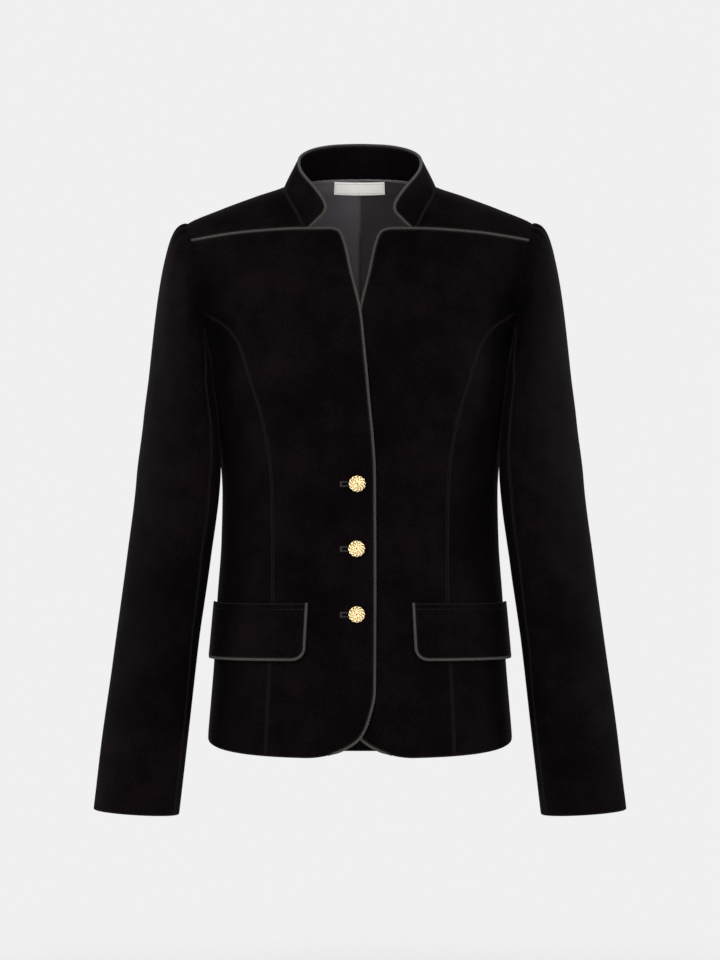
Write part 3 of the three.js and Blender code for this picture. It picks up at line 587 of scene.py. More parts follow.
def label_weave():
    paint = Paint("label weave")
    place = paint.node("ShaderNodeTexCoord", {}, {}, "Object")
    ribs = paint.node("ShaderNodeTexWave", {"bands_direction": "Z"}, {
        "Vector": place, "Scale": 520.0, "Distortion": 0.4})
    drift = paint.noise(place, 9, 2.0)
    return paint.finish({
        "Base Color": paint.mix(0.6 * drift + 0.4 * ribs, (0.90, 0.88, 0.83), (1.0, 0.99, 0.95)),
        "Roughness": 0.62 + 0.1 * ribs,
        "Normal": paint.bump(ribs, 0.08, 0.6),
    })


# %% Cord, thread and gilt
def cord_yarn():
    paint = Paint("piping cord")
    place = paint.node("ShaderNodeTexCoord", {}, {}, "Object")
    fuzz = paint.noise(place, 0.5, 2.0)
    drift = paint.noise(place, 26, 2.0)
    # Painted highlight on the ply ridges and painted shade in the hollows between the plies.
    ridge = paint.mark("ridge")
    tone = paint.steps(0.8 * ridge + 0.14 * fuzz + 0.16 * drift, 0.34, 1.0)
    return paint.finish({
        "Base Color": paint.mix(tone, (0.003, 0.0025, 0.002), (0.060, 0.055, 0.046)),
        "Roughness": 0.78 - 0.2 * ridge,
        "Specular IOR Level": 0.3,
        "Sheen Weight": 0.12,
        "Sheen Roughness": 0.4,
        "Normal": paint.bump(fuzz, 0.12, 0.6),
    })


def thread():
    paint = Paint("sewing thread")
    place = paint.node("ShaderNodeTexCoord", {}, {}, "Object")
    ply = paint.noise(place, 0.6, 2.0)
    return paint.finish({
        "Base Color": paint.mix(ply, (0.006, 0.005, 0.005), (0.034, 0.031, 0.031)),
        "Roughness": 0.6 + 0.2 * ply,
        "Specular IOR Level": 0.35,
    })


def gilt():
    paint = Paint("gilt metal")
    place = paint.node("ShaderNodeTexCoord", {}, {}, "Object")
    wear = paint.noise(place, 2.2, 3.0)
    hollow = paint.mark("ridge")
    tone = paint.steps(0.8 * hollow + 0.2 * wear, 0.2, 0.85)
    return paint.finish({
        "Base Color": paint.mix(tone, (0.30, 0.12, 0.015), (0.98, 0.80, 0.46)),
        "Metallic": 1.0,
        "Roughness": 0.36 - 0.12 * hollow,
        "Normal": paint.bump(paint.noise(place, 0.5, 2.0), 0.05, 0.5),
    })


VELVET = velvet()
SATIN = satin()
LABEL = label_weave()
CORD = cord_yarn()
THREAD = thread()
GILT = gilt()

# %% [markdown]
# ## The body's panels
#
# Front, side front, yoke and back are patches between the seams above. The right front laps
# over the left, so its cloth stands a little proud near the middle and the left one sinks.
# Inside, each front carries a velvet facing along its edge and each hem is turned up, and
# the rest is faced with satin.

# %% Panel builder
LAP = {"right": 1.9, "left": -2.1}
LAP_FULL = 12
LAP_NONE = 44
FACING = 52
HEM_TURNING = 30
CORD_RADIUS = 1.5
CORD_RISE = 0.8
CORD_TUCK = 0.95
CORD_END_TUCK = 1.6
CORD_END_LENGTH = 14
SIDES = {"right": 1, "left": -1}


def lap_out(spots, side):
    x = np.abs(body_face(spots[..., 0], spots[..., 1])[..., 0])
    near = 1 - smooth(x, LAP_FULL, LAP_NONE)
    return LAP[side] * near * (np.cos(spots[..., 0]) > 0)


def on_side(points, side):
    return points * np.array([SIDES[side], 1, 1])


def add_panel(name, side, spots, folds=(), faced=None):
    out = lap_out(spots, side)
    base = body_point(spots[..., 0], spots[..., 1], out)
    normal = body_normal(spots[..., 0], spots[..., 1])
    lines = [base[0], base[-1], base[:, 0], base[:, -1]]
    edge = np.min([distance_to(base, line) for line in lines], axis=0)
    swell = creased(base, folds)
    outer = base + normal * (swell - rolled(edge))[..., None]
    inner = base + normal * (swell - WALL + 0.5 * rolled(edge))[..., None]
    slots = 1
    if faced is not None:
        velvet_inside = thinned(faced(base))[:-1, :-1]
        slots = np.where(velvet_inside, 0, 1)
    marks = {"edge": np.concatenate([edge.ravel(), thinned(edge).ravel()])}
    outer, inner = on_side(outer, side), on_side(thinned(inner), side)
    piece = add_wall(f"{name}_{side}_cloth", outer, inner, [VELVET, SATIN], marks, slots)
    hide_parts(f"{name}_{side}")
    print(name, side, spots.shape[:2])
    return piece


def turned_hem(base):
    return distance_to(base, base[-1]) < HEM_TURNING


# %% Places of each panel
FOOT_RISE_START = 0.6


def front_spots():
    shares = np.linspace(0, 1, 160)[:, None]
    top = border(piped_line(CORNER_RUN * shares[:, 0], -CORD_TUCK))
    side = armhole(FRONT_SEAM_ANGLE + (PRINCESS_START - FRONT_SEAM_ANGLE) * shares[:, 0])
    side[0] = top[0][0]
    left = border(side, princess(shares[1:, 0]))
    edge = piped_line(CORNER_RUN + (PIPED_LENGTH - CORNER_RUN) * shares[:, 0], -CORD_TUCK)
    right = border(edge)
    foot = hem(left[0][-1, 0] + (edge[-1, 0] - left[0][-1, 0]) * shares[:, 0])
    rise = np.clip((shares[:, 0] - FOOT_RISE_START) / (1 - FOOT_RISE_START), 0, 1)
    foot[:, 1] += (edge[-1, 1] - foot[-1, 1]) * rise**2
    foot[0] = left[0][-1]
    return coons(top, border(foot), left, right)


def side_front_spots():
    shares = np.linspace(0, 1, 160)
    left, right = border(side_seam(shares)), border(princess(shares))
    top = border(armhole(math.pi + (PRINCESS_START - math.pi) * shares))
    foot = border(hem(math.pi / 2 + (right[0][-1, 0] - math.pi / 2) * shares))
    return coons(top, foot, left, right)


def yoke_spots():
    shares = np.linspace(0, 1, 120)
    right = piped_line(NECK_RUN * (1 - shares), CORD_TUCK)
    top, bottom = front_neck(shares), armhole(FRONT_SEAM_ANGLE * shares)
    top[-1], bottom[-1] = right[0], right[-1]
    return coons(border(top), border(bottom), border(shoulder_line(shares)), border(right))


def back_spots():
    shares = np.linspace(0, 1, 160)
    left = border(shoulder_line(shares), armhole(-math.pi * shares[1:] - 1e-4), side_seam(shares[1:]))
    right = places(math.pi, BACK_NECK_Z + (BACK_HEM_Z - BACK_NECK_Z) * shares)
    foot = hem(math.pi / 2 * (1 + shares))
    return coons(border(back_neck(shares)), border(foot), left, border(right))


# %% Creases on the body, one row each, from one point to another on the cloth
FRONT_FOLDS = table("side x1 z1 x2 z2 width height", [
    (1, 150, -150, 92, -196, 11, -1.1),
    (1, 128, -196, 60, -236, 15, 0.8),
    (1, 30, -318, 96, -296, 9, -0.7),
    (1, 22, -392, 104, -372, 12, -0.9),
    (1, 60, -352, 138, -330, 13, 0.9),
    (1, 118, -520, 112, -600, 15, 1.3),
    (1, 66, -530, 58, -612, 17, -1.2),
    (1, 142, -330, 120, -420, 14, -0.9),
    (1, 40, -90, 96, -150, 20, 0.7),
    (-1, 146, -146, 100, -204, 13, -1.0),
    (-1, 124, -210, 66, -228, 12, 0.7),
    (-1, 24, -386, 88, -398, 10, -0.8),
    (-1, 50, -334, 132, -352, 15, 0.9),
    (-1, 124, -534, 118, -604, 18, 1.1),
    (-1, 58, -520, 64, -612, 14, -1.3),
    (-1, 140, -352, 126, -436, 12, -0.8),
    (-1, 46, -84, 90, -168, 24, 0.6),
])
BACK_FOLDS = table("side x1 z1 x2 z2 width height", [
    (1, 120, -70, 70, -130, 17, -1.3),
    (1, 148, -170, 96, -120, 12, 1.1),
    (1, 20, -40, 74, -58, 12, -0.8),
    (1, 24, -300, 118, -318, 12, -1.2),
    (1, 60, -338, 138, -326, 14, 1.1),
    (1, 88, -470, 96, -610, 19, 1.5),
    (1, 44, -430, 36, -600, 17, -1.3),
    (-1, 112, -64, 76, -142, 19, -1.2),
    (-1, 150, -176, 104, -136, 13, 1.0),
    (-1, 30, -310, 126, -298, 13, -1.1),
    (-1, 40, -356, 128, -340, 12, 0.9),
    (-1, 104, -480, 92, -612, 16, 1.4),
    (-1, 52, -450, 48, -606, 20, -1.4),
])


def body_folds(rows, side, depth):
    ends = []
    for x, z in (("x1", "z1"), ("x2", "z2")):
        angle = angle_across(rows[x], rows[z], depth)
        angle = math.pi - angle if depth == "back" else angle
        ends.append(body_face(angle, rows[z]))
    own = rows["side"] == SIDES[side]
    return list(zip(ends[0][own], ends[1][own], rows["width"][own], rows["height"][own]))


# %% Make the eight body panels
def front_facing(base):
    return (distance_to(base, base[:, -1]) < FACING) | turned_hem(base)


for side in SIDES:
    ahead = body_folds(FRONT_FOLDS, side, "front")
    behind = body_folds(BACK_FOLDS, side, "back")
    add_panel("front", side, front_spots(), ahead, front_facing)
    add_panel("side_front", side, side_front_spots(), ahead, turned_hem)
    add_panel("yoke", side, yoke_spots(), ahead)
    add_panel("back", side, back_spots(), behind, turned_hem)

# %% [markdown]
# ## Sleeves
#
# A tailored sleeve is two pieces, a wide top and a narrow under sleeve, joined along two
# seams near the inner arm. Its head is longer than the armhole, and the extra is gathered
# into small pleats at the top. Rings down the arm give its form, and a curve from the
# armhole to the first ring gives the rounded head.

# %% Sleeve face
SLEEVE = table("z x half_width lean y half_depth seam", [
    (-208, 192.0, 37.0, 30, -10, 58, 112),
    (-251, 191.8, 42.2, 32, -16, 56, 112),
    (-315, 194.6, 46.6, 30, -18, 52, 112),
    (-402, 205, 46, 24, -21, 48, 120),
    (-488, 216.6, 45.1, 16, -25, 43, 133),
    (-574, 226.8, 45.4, 9, -30, 38, 145),
    (-668.3, 238, 45.8, 4, -36, 34, 151),
])
SLEEVE_TOP, SLEEVE_END = SLEEVE["z"][[0, -1]]
CUFF_TILT = 0.058
ARMHOLE_SEAM = 2.25
BACK_SEAM = -2.3
CAP_REACH = {"out": 16, "out_top": 14, "side": 16, "up": -4, "up_top": 8}
CAP_SHOULDER = 0.45
CAP_FLARE = 0.113
SLEEVE_SUNK = 2.0


def sleeve_ring(turn, z):
    lean = np.radians(between(SLEEVE, "z", "lean", z))
    out = between(SLEEVE, "z", "half_width", z) * np.cos(turn + lean)
    drop = smooth(-z, -SLEEVE_TOP, -SLEEVE_END)
    x = -(between(SLEEVE, "z", "x", z) + out)
    y = between(SLEEVE, "z", "y", z) - between(SLEEVE, "z", "half_depth", z) * np.sin(turn)
    return np.stack([x, y, z + CUFF_TILT * drop * out], -1)


def sleeve_cap(turn, share):
    seat = armhole(np.where(turn == 0, 1e-4, turn))
    start = body_face(seat[..., 0], seat[..., 1]) + np.array([SLEEVE_SUNK, 0, 0])
    end = sleeve_ring(turn, SLEEVE_TOP + 0 * turn)
    rise = CAP_SHOULDER * (start[..., 2] - end[..., 2])
    lead = np.stack([
        -(CAP_REACH["out"] + CAP_REACH["out_top"] * np.cos(turn)),
        -CAP_REACH["side"] * np.sin(turn),
        CAP_REACH["up"] + CAP_REACH["up_top"] * np.cos(turn),
    ], -1)
    outwards = (1 + np.cos(turn + math.radians(SLEEVE["lean"][0]))) / 2
    arrive = np.stack([CAP_FLARE * rise * outwards, 0 * rise, rise], -1)
    t = share[..., None]
    rest = 1 - t
    inner = 3 * rest * t * (rest * (start + lead) + t * (end + arrive))
    return rest**3 * start + inner + t**3 * end


def sleeve_face(turn, row):
    cap = sleeve_cap(turn, np.clip(row, 0, 1))
    ring = sleeve_ring(turn, SLEEVE_TOP - np.maximum(row - 1, 0))
    return np.where((row > 1)[..., None], ring, cap)


def sleeve_normal(turn, row):
    above = np.where(row <= 1, row - 0.01, np.maximum(row - 1, 1))
    below = np.where(row < 1, row + 0.01, row + 1)
    along_turn = sleeve_face(turn + 0.01, row) - sleeve_face(turn - 0.01, row)
    return unit(np.cross(sleeve_face(turn, below) - sleeve_face(turn, np.maximum(above, 0)), along_turn))


# %% Gathers at the sleeve head
GATHERS = 8
GATHER_SPAN = 0.95
GATHER_DEPTH = 1.5
GATHER_REACH = 0.17
PLEAT_HEIGHTS = {
    "right": [0.5, 0.9, 0.7, 1.15, 0.95, 1.2, 0.75, 1.0, 0.6],
    "left": [0.6, 0.75, 1.05, 0.85, 1.2, 0.9, 1.1, 0.7, 0.5],
}
PLEAT_LENGTHS = {
    "right": [0.8, 1.3, 0.9, 1.5, 1.1, 0.9, 1.4, 1.0, 0.7],
    "left": [0.7, 1.2, 1.0, 0.9, 1.4, 1.2, 0.8, 1.3, 0.9],
}


def gathered(turn, row, side):
    count = (turn / GATHER_SPAN + 1) * GATHERS / 2
    pleat = (0.5 + 0.5 * np.cos(2 * math.pi * count)) ** 0.8
    stations = np.arange(GATHERS + 1)
    height = np.interp(count, stations, PLEAT_HEIGHTS[side])
    length = np.interp(count, stations, PLEAT_LENGTHS[side]) * GATHER_REACH
    reach = 1 - smooth(np.abs(turn), GATHER_SPAN * 0.8, GATHER_SPAN * 1.05)
    start = 0.4 + 0.6 * smooth(row, 0, 0.03)
    fade = np.where(row < 1, np.exp(-((row / length) ** 2)), 0)
    puff = 0.7 * np.exp(-(((row - 0.16) / 0.14) ** 2)) * (0.4 + 0.6 * pleat)
    return reach * (GATHER_DEPTH * pleat * height * fade * start + puff * (row < 1))


# %% Sleeve panels
SLEEVE_FOLDS = table("side t1 r1 t2 r2 width height", [
    (1, 1.9, 60, 1.0, 96, 11, -1.3),
    (1, 2.3, 96, 1.3, 140, 13, -1.7),
    (1, 2.2, 128, 1.2, 182, 12, 1.2),
    (1, 2.4, 170, 1.5, 205, 13, -1.4),
    (1, 2.5, 250, 1.7, 300, 16, -1.0),
    (1, -2.4, 30, -1.5, 90, 16, -1.2),
    (1, -2.3, 150, -1.3, 190, 15, 1.2),
    (1, -2.5, 300, -1.6, 350, 17, -1.0),
    (1, 0.2, 330, -0.5, 440, 22, 0.9),
    (1, 2.6, 1.1, 1.8, 40, 14, -1.5),
    (1, 0.5, 60, 0.2, 180, 24, 0.8),
    (-1, 2.0, 48, 1.1, 90, 12, -1.2),
    (-1, 2.2, 110, 1.2, 136, 12, -1.6),
    (-1, 2.3, 140, 1.3, 198, 14, 1.3),
    (-1, 2.5, 186, 1.4, 226, 12, -1.3),
    (-1, 2.4, 268, 1.6, 318, 15, -1.1),
    (-1, -2.5, 44, -1.6, 84, 14, -1.1),
    (-1, -2.3, 138, -1.4, 202, 17, 1.1),
    (-1, -2.4, 286, -1.5, 366, 16, -1.0),
    (-1, 0.3, 300, -0.3, 420, 20, 0.8),
    (-1, 2.5, 1.1, 1.7, 52, 15, -1.4),
    (-1, 0.4, 80, 0.1, 210, 22, 0.8),
])


def sleeve_seam(row):
    cap = ARMHOLE_SEAM + (math.radians(SLEEVE["seam"][0]) - ARMHOLE_SEAM) * np.clip(row, 0, 1)
    low = np.radians(between(SLEEVE, "z", "seam", SLEEVE_TOP - np.maximum(row - 1, 0)))
    return np.where(row <= 1, cap, low)


CAP_LENGTH = 190.0
ARM_LENGTH = float(SLEEVE_TOP - SLEEVE_END)


def sleeve_rows():
    run = spread(CAP_LENGTH + ARM_LENGTH) * (CAP_LENGTH + ARM_LENGTH)
    return np.where(run < CAP_LENGTH, run / CAP_LENGTH, 1 + run - CAP_LENGTH)


def add_sleeve(name, side, turns):
    row = np.broadcast_to(sleeve_rows()[:, None], turns.shape)
    face = sleeve_face(turns, row)
    normal = sleeve_normal(turns, row)
    lines = [face[-1], face[:, 0], face[:, -1]]
    edge = np.min([distance_to(face, line) for line in lines], axis=0)
    rows = {name: column[SLEEVE_FOLDS["side"] == SIDES[side]] for name, column in SLEEVE_FOLDS.items()}
    starts = sleeve_face(rows["t1"], rows["r1"])
    ends = sleeve_face(rows["t2"], rows["r2"])
    swell = creased(face, list(zip(starts, ends, rows["width"], rows["height"])))
    swell = swell + gathered(turns, row, side)
    outer = face + normal * (swell - rolled(edge))[..., None]
    inner = face + normal * (swell - WALL + 0.5 * rolled(edge))[..., None]
    cuffed = thinned(distance_to(face, face[-1]) < HEM_TURNING)[:-1, :-1]
    marks = {"edge": np.concatenate([edge.ravel(), thinned(edge).ravel()])}
    outer, inner = on_side(outer, side), on_side(thinned(inner), side)
    piece = add_wall(f"{name}_{side}_cloth", outer, inner, [VELVET, SATIN], marks, np.where(cuffed, 0, 1))
    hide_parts(f"{name}_{side}")
    print(name, side, turns.shape)


def top_turns():
    rows = sleeve_rows()
    seam = sleeve_seam(rows)[:, None]
    behind = BACK_SEAM + (-GATHER_SPAN - BACK_SEAM) * spread(58)[None, :]
    pleats = np.linspace(-GATHER_SPAN, GATHER_SPAN, 1 + 12 * GATHERS)[None, :]
    ahead = GATHER_SPAN + (seam - GATHER_SPAN) * spread(78)[None, :]
    parts = [np.broadcast_to(p, (len(rows), p.shape[1])) for p in (behind, pleats[:, 1:], ahead[:, 1:])]
    return np.hstack(parts)


def under_turns():
    seam = sleeve_seam(sleeve_rows())[:, None]
    turns = seam + (BACK_SEAM + 2 * math.pi - seam) * spread(92)[None, :]
    return np.where(turns > math.pi, turns - 2 * math.pi, turns)


for side in SIDES:
    add_sleeve("sleeve_top", side, top_turns())
    add_sleeve("sleeve_under", side, under_turns())

# %% [markdown]
# ## Pocket flaps
#
# Each flap is a lined rectangle with two round lower corners. Its top edge is stitched down
# a few millimetres below the fold, and from there the flap stands slightly off the jacket.
# A square grid is bent into the round corners by the rule that maps a square to a disc.

# %% Flap form
FLAP_TOP_Z = -443.5
FLAP_SLOPE = 2
FLAP_INNER_X = 56.6
FLAP_WIDTH = 145.0
FLAP_DEPTH = 59.0
FLAP_CORNER = 12.0
FLAP_LIFT = (0.9, 3.4)
FLAP_LEVEL = -472
FLAP_STITCH = 6.6
FLAP_TUCK = 0.75


def flap_angles():
    angle = float(angle_across(FLAP_INNER_X, FLAP_LEVEL)) + np.linspace(0, 1.5, 900)
    steps = np.linalg.norm(np.diff(body_face(angle, FLAP_LEVEL), axis=0), axis=1)
    return angle, np.concatenate([[0], np.cumsum(steps)])


FLAP_ANGLES = flap_angles()


def flap_point(across, down, out):
    lift = FLAP_LIFT[0] + (FLAP_LIFT[1] - FLAP_LIFT[0]) * down / FLAP_DEPTH
    z = FLAP_TOP_Z - down - FLAP_SLOPE * across / FLAP_WIDTH
    return body_point(np.interp(across, FLAP_ANGLES[1], FLAP_ANGLES[0]), z, lift + out)


def round_corner(u, v, radius):
    """Distances from two edges of a square corner, bent so that the corner is round."""
    a, b = np.clip(1 - u / radius, 0, 1), np.clip(1 - v / radius, 0, 1)
    bent_a, bent_b = a * np.sqrt(1 - b**2 / 2), b * np.sqrt(1 - a**2 / 2)
    inside = (a > 0) & (b > 0)
    return np.where(inside, radius * (1 - bent_a), u), np.where(inside, radius * (1 - bent_b), v)


def add_flap(side):
    width, depth = FLAP_WIDTH - 2 * FLAP_TUCK, FLAP_DEPTH - FLAP_TUCK
    across, down = np.meshgrid(spread(width, 3.0) * width, spread(depth, 2.4) * depth)
    radius = FLAP_CORNER - FLAP_TUCK
    left, low = round_corner(across, depth - down, radius)
    right, lower = round_corner(width - across, depth - down, radius)
    near_left = across < width / 2
    across = np.where(near_left, left, width - right)
    down = depth - np.where(near_left, low, lower)
    base = flap_point(across + FLAP_TUCK, down, WALL)
    normal = unit(base - flap_point(across + FLAP_TUCK, down, WALL - 1))
    lines = [base[0], base[-1], base[:, 0], base[:, -1]]
    edge = np.min([distance_to(base, line) for line in lines], axis=0)
    groove = 0.5 * np.exp(-(((down - FLAP_STITCH) / 1.1) ** 2))
    belly = 0.5 * np.sin(math.pi * down / depth) * np.sin(math.pi * across / width)
    outer = base + normal * (belly - groove - rolled(edge))[..., None]
    inner = base - normal * (WALL - 0.3 * rolled(edge))[..., None]
    marks = {"edge": np.concatenate([edge.ravel(), thinned(edge).ravel()])}
    piece = add_wall(f"flap_{side}_cloth", on_side(outer, side), on_side(thinned(inner), side),
                     [VELVET, SATIN], marks)
    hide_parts(f"flap_{side}")
    print("flap", side, across.shape)


for side in SIDES:
    add_flap(side)

# %% [markdown]
# ## Collar
#
# The collar is one band that stands up from the neck seam and ends in a small round wing on
# each side. Its foot is the neck seam itself, and its top line is a short table. Both faces
# are velvet. The stations run from the middle of the back to each wing.

# %% Collar form
COLLAR_TOP = table("turn x y z", [
    (0, 0, 60, 51.5), (2, 27, 55, 50), (4, 52, 39, 44), (6, 65, 14, 34.5),
    (7, 67.2, -3, 28.5), (8, 66.8, -20, 21.5), (9, 64.2, -35, 13.5), (10, 59.5, -47, 6),
    (11, 53, -57, -2), (12, 46.3, -65.5, -10.8), (13, 39.8, -72.5, -20.5), (14, 34, -78, -29.5),
])
BACK_STATIONS = 9
NECK_STATIONS = 5
WING_STATIONS = 2
LAST_STATION = BACK_STATIONS + NECK_STATIONS + WING_STATIONS
COLLAR_SIDE_TURN = 7
WING_FOOT = {"x": 53.5, "z": -48}
WING_ROUND = 12.0
COLLAR_BULGE = 0.3
COLLAR_RISE = -1.0


def collar_foot(station):
    neck_end = piped_line(NECK_RUN, CORD_RADIUS)
    behind = back_neck(np.clip(1 - station / BACK_STATIONS, 0, 1))
    ahead = front_neck(np.clip((station - BACK_STATIONS) / NECK_STATIONS, 0, 1))
    share = np.clip((station - BACK_STATIONS - NECK_STATIONS) / WING_STATIONS, 0, 1)
    start_x = -body_face(*neck_end)[0]
    z = neck_end[1] + (WING_FOOT["z"] - neck_end[1]) * share
    wing = places(angle_across(start_x + (WING_FOOT["x"] - start_x) * share, z), z)
    low = np.where((station <= BACK_STATIONS)[..., None], behind, ahead)
    low = np.where((station > BACK_STATIONS + NECK_STATIONS)[..., None], wing, low)
    return body_point(low[..., 0], low[..., 1], 0 * station)


def collar_top(station):
    beyond = np.maximum(station - BACK_STATIONS, 0)
    turn = np.minimum(station, BACK_STATIONS) * COLLAR_SIDE_TURN / BACK_STATIONS + beyond
    x, y, z = (between(COLLAR_TOP, "turn", name, turn) for name in "xyz")
    return np.stack([-x, y, z], -1)


def collar_face(station, share):
    foot, top = collar_foot(station), collar_top(station)
    base = foot + unit(top - foot) * COLLAR_RISE
    outwards = unit(base * np.array([1, 1, 0]))
    bulge = COLLAR_BULGE * np.sin(math.pi * share)[..., None]
    return base + (top - base) * share[..., None] + outwards * bulge


def collar_half():
    """Points of the right half, with the wing tip rounded."""
    stations = np.linspace(0, LAST_STATION, 400)
    steps = np.linalg.norm(np.diff(collar_top(stations), axis=0), axis=1)
    run = np.concatenate([[0], np.cumsum(steps)])
    shares = spread(62, 2.6)
    ends = spread(2 * run[-1], 3.2)
    along = np.abs(ends * 2 - 1) * run[-1]
    along = along[: len(along) // 2 + 1][::-1]
    height = np.linalg.norm(collar_top(np.array([13.0])) - collar_foot(np.array([13.0])))
    ahead, above = np.meshgrid(run[-1] - along, (1 - shares) * height, indexing="ij")
    ahead, above = round_corner(ahead, above, WING_ROUND)
    station = np.interp(run[-1] - ahead, run, stations)
    return collar_face(station, 1 - above / height)


def add_collar():
    half = collar_half()
    if (2 * len(half) - 2) % INNER_EVERY:
        half = half[(2 * len(half) - 2) % INNER_EVERY:]
    full = np.concatenate([on_side(half, "left")[:0:-1], half])
    across = np.gradient(full, axis=1)
    along = np.gradient(full, axis=0)
    normal = unit(np.cross(across, along))
    middle = len(full) // 2
    normal = normal * np.sign(normal[middle, 0, 1] * full[middle, 0, 1])
    lines = [full[0], full[-1], full[:, 0], full[:, -1]]
    edge = np.min([distance_to(full, line) for line in lines], axis=0)
    outer = full - normal * rolled(edge)[..., None]
    inner = full - normal * (WALL - 0.7 * rolled(edge))[..., None]
    marks = {"edge": np.concatenate([edge.ravel(), thinned(edge).ravel()])}
    piece = add_wall("collar_cloth", outer, thinned(inner), [VELVET], marks, 0)
    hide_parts("collar")
    print("collar", full.shape[:2])
    return full - normal * (WALL / 2), full


collar_middle, collar_outer = add_collar()

# %% [markdown]
# ## Piping cord
#
# The trim is a thin cord of three plies, caught in the seam so that half of it shows. It is
# swept along the seam line with a three-lobed section that turns as it goes, which gives the
# slanting ribs. Steps of a third of a millimetre keep the ribs round.

# %% Sweep a plied cord
PLIES = 3
PLY_PITCH = 4.4
CORD_STEP = 0.36
CORD_SIDES = 12
PLY_OFFSET = 0.4


def evenly(path, step):
    run = np.concatenate([[0], np.cumsum(np.linalg.norm(np.diff(path, axis=0), axis=1))])
    at = np.linspace(0, run[-1], max(2, round(run[-1] / step)))
    return np.stack([np.interp(at, run, path[:, k]) for k in range(3)], -1), at


def swept(path, ring, closed=False):
    """Points of a ring of (side, up) offsets carried along a path, and its faces."""
    if closed:
        run = unit(np.roll(path, -1, axis=0) - np.roll(path, 1, axis=0))
    else:
        run = unit(np.gradient(path, axis=0))
    side = np.cross(run[0], [0.31, 0.52, 0.79])
    sides = []
    for ahead in run:
        side = side - ahead * (ahead @ side)
        side = side / np.linalg.norm(side)
        sides.append(side)
    sides = np.array(sides)
    ups = np.cross(run, sides)
    points = path[:, None] + sides[:, None] * ring[..., :1] + ups[:, None] * ring[..., 1:]
    count = ring.shape[-2]
    index = np.arange(len(path) * count).reshape(len(path), count)
    index = np.hstack([index, index[:, :1]])
    if closed:
        index = np.vstack([index, index[:1]])
        return points.reshape(-1, 3), [grid_faces(index)]
    caps = [index[:1, :-1], index[-1:, -2::-1]]
    return points.reshape(-1, 3), [grid_faces(index)[:, ::-1], *[c[:, ::-1] for c in caps]]


def add_cord(name, path, node):
    path, at = evenly(path, CORD_STEP)
    turn = np.linspace(0, 2 * math.pi, CORD_SIDES, endpoint=False)[None, :]
    phase = turn + 2 * math.pi * at[:, None] / PLY_PITCH
    away = (turn * 0 + phase * 0 + turn) * PLIES / (2 * math.pi) % 1 - 0.5
    psi = away * 2 * math.pi / PLIES
    bead = 1 - PLY_OFFSET
    reach = PLY_OFFSET * np.cos(psi) + np.sqrt(bead**2 - (PLY_OFFSET * np.sin(psi)) ** 2)
    ring = CORD_RADIUS * reach[..., None] * np.stack([np.cos(phase), np.sin(phase)], -1)
    points, faces = swept(path, ring)
    # How far each point stands out of the hollows between plies; the cord's finish paints it paler on the
    # ridges as a highlight and darker in the hollows as shade.
    low = reach.min()
    ridge = np.broadcast_to((reach - low) / (1 - low), phase.shape)
    piece = add_object(name, points, faces, [CORD], marks={"ridge": ridge})
    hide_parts(node)
    print(name, round(at[-1]), "mm")


def front_cord(side):
    run = np.linspace(1.4, PIPED_LENGTH - 0.4, 900)
    spots = piped_line(run)
    tuck = CORD_END_TUCK * smooth(run, PIPED_LENGTH - CORD_END_LENGTH, PIPED_LENGTH)
    spots[:, 1] += tuck
    out = lap_out(spots, side) - CORD_RISE - tuck
    return on_side(body_point(spots[:, 0], spots[:, 1], out), side)


def flap_cord(side):
    turns = np.linspace(0, math.pi / 2, 24)
    inner = FLAP_CORNER * (1 - np.cos(turns))
    low = FLAP_DEPTH - FLAP_CORNER + FLAP_CORNER * np.sin(turns)
    flat = np.linspace(FLAP_CORNER, FLAP_WIDTH - FLAP_CORNER, 60)
    fall = np.linspace(0, FLAP_DEPTH - FLAP_CORNER, 24)
    far = FLAP_WIDTH - inner[::-1]
    across = np.concatenate([0 * fall, inner[1:], flat[1:-1], far, FLAP_WIDTH + 0 * fall[1:]])
    down = np.concatenate([fall, low[1:], 0 * flat[1:-1] + FLAP_DEPTH, low[::-1], fall[-2::-1]])
    return on_side(flap_point(across, down, WALL - CORD_RISE), side)


def collar_cord():
    middle = collar_middle
    wing = middle[0, 1:-1], middle[1, 1:-1]
    far = middle[-1, ::-1][1:-1], middle[-2, ::-1][1:-1]
    rim = np.concatenate([wing[0], middle[:, -1], far[0]])
    within = np.concatenate([wing[1], middle[:, -2], far[1]])
    run = unit(np.gradient(rim, axis=0))
    away = rim - within
    away = away - run * np.einsum("ij,ij->i", away, run)[:, None]
    path = rim + unit(away) * CORD_TUCK
    soft = path.copy()
    for _ in range(6):
        soft[1:-1] = (soft[:-2] + 2 * soft[1:-1] + soft[2:]) / 4
    return soft


for side in SIDES:
    add_cord(f"piping_front_{side}_cord", front_cord(side), f"piping_front_{side}")
    add_cord(f"piping_flap_{side}_cord", flap_cord(side), f"piping_flap_{side}")
add_cord("piping_collar_cord", collar_cord(), "piping_collar")

# %% [markdown]
# ## Back lining and label
#
# Through the neck the satin lining of the back shows. It has a pleat down the middle, so one
# half laps over the other, and it hangs a little loose in soft vertical folds. A blank woven
# label is stitched on all round just under the collar.

# %% Lining
LINING_GAP = 2.2
LINING_WALL = 1.0
LINING_TOP_ROW = 0.12
LINING_LAST_ROW = 25.3
LINING_EDGE = 1.0
PLEAT_STEP = 0.9
PLEAT_RELEASE_Z = -45.0
ROW_SHARES = [0, 0.08, 0.16, 0.24, 0.32, 0.4, 0.48, 0.56, 0.64, 0.72, 0.79, 0.85, 0.9, 0.94, 0.97, 1]


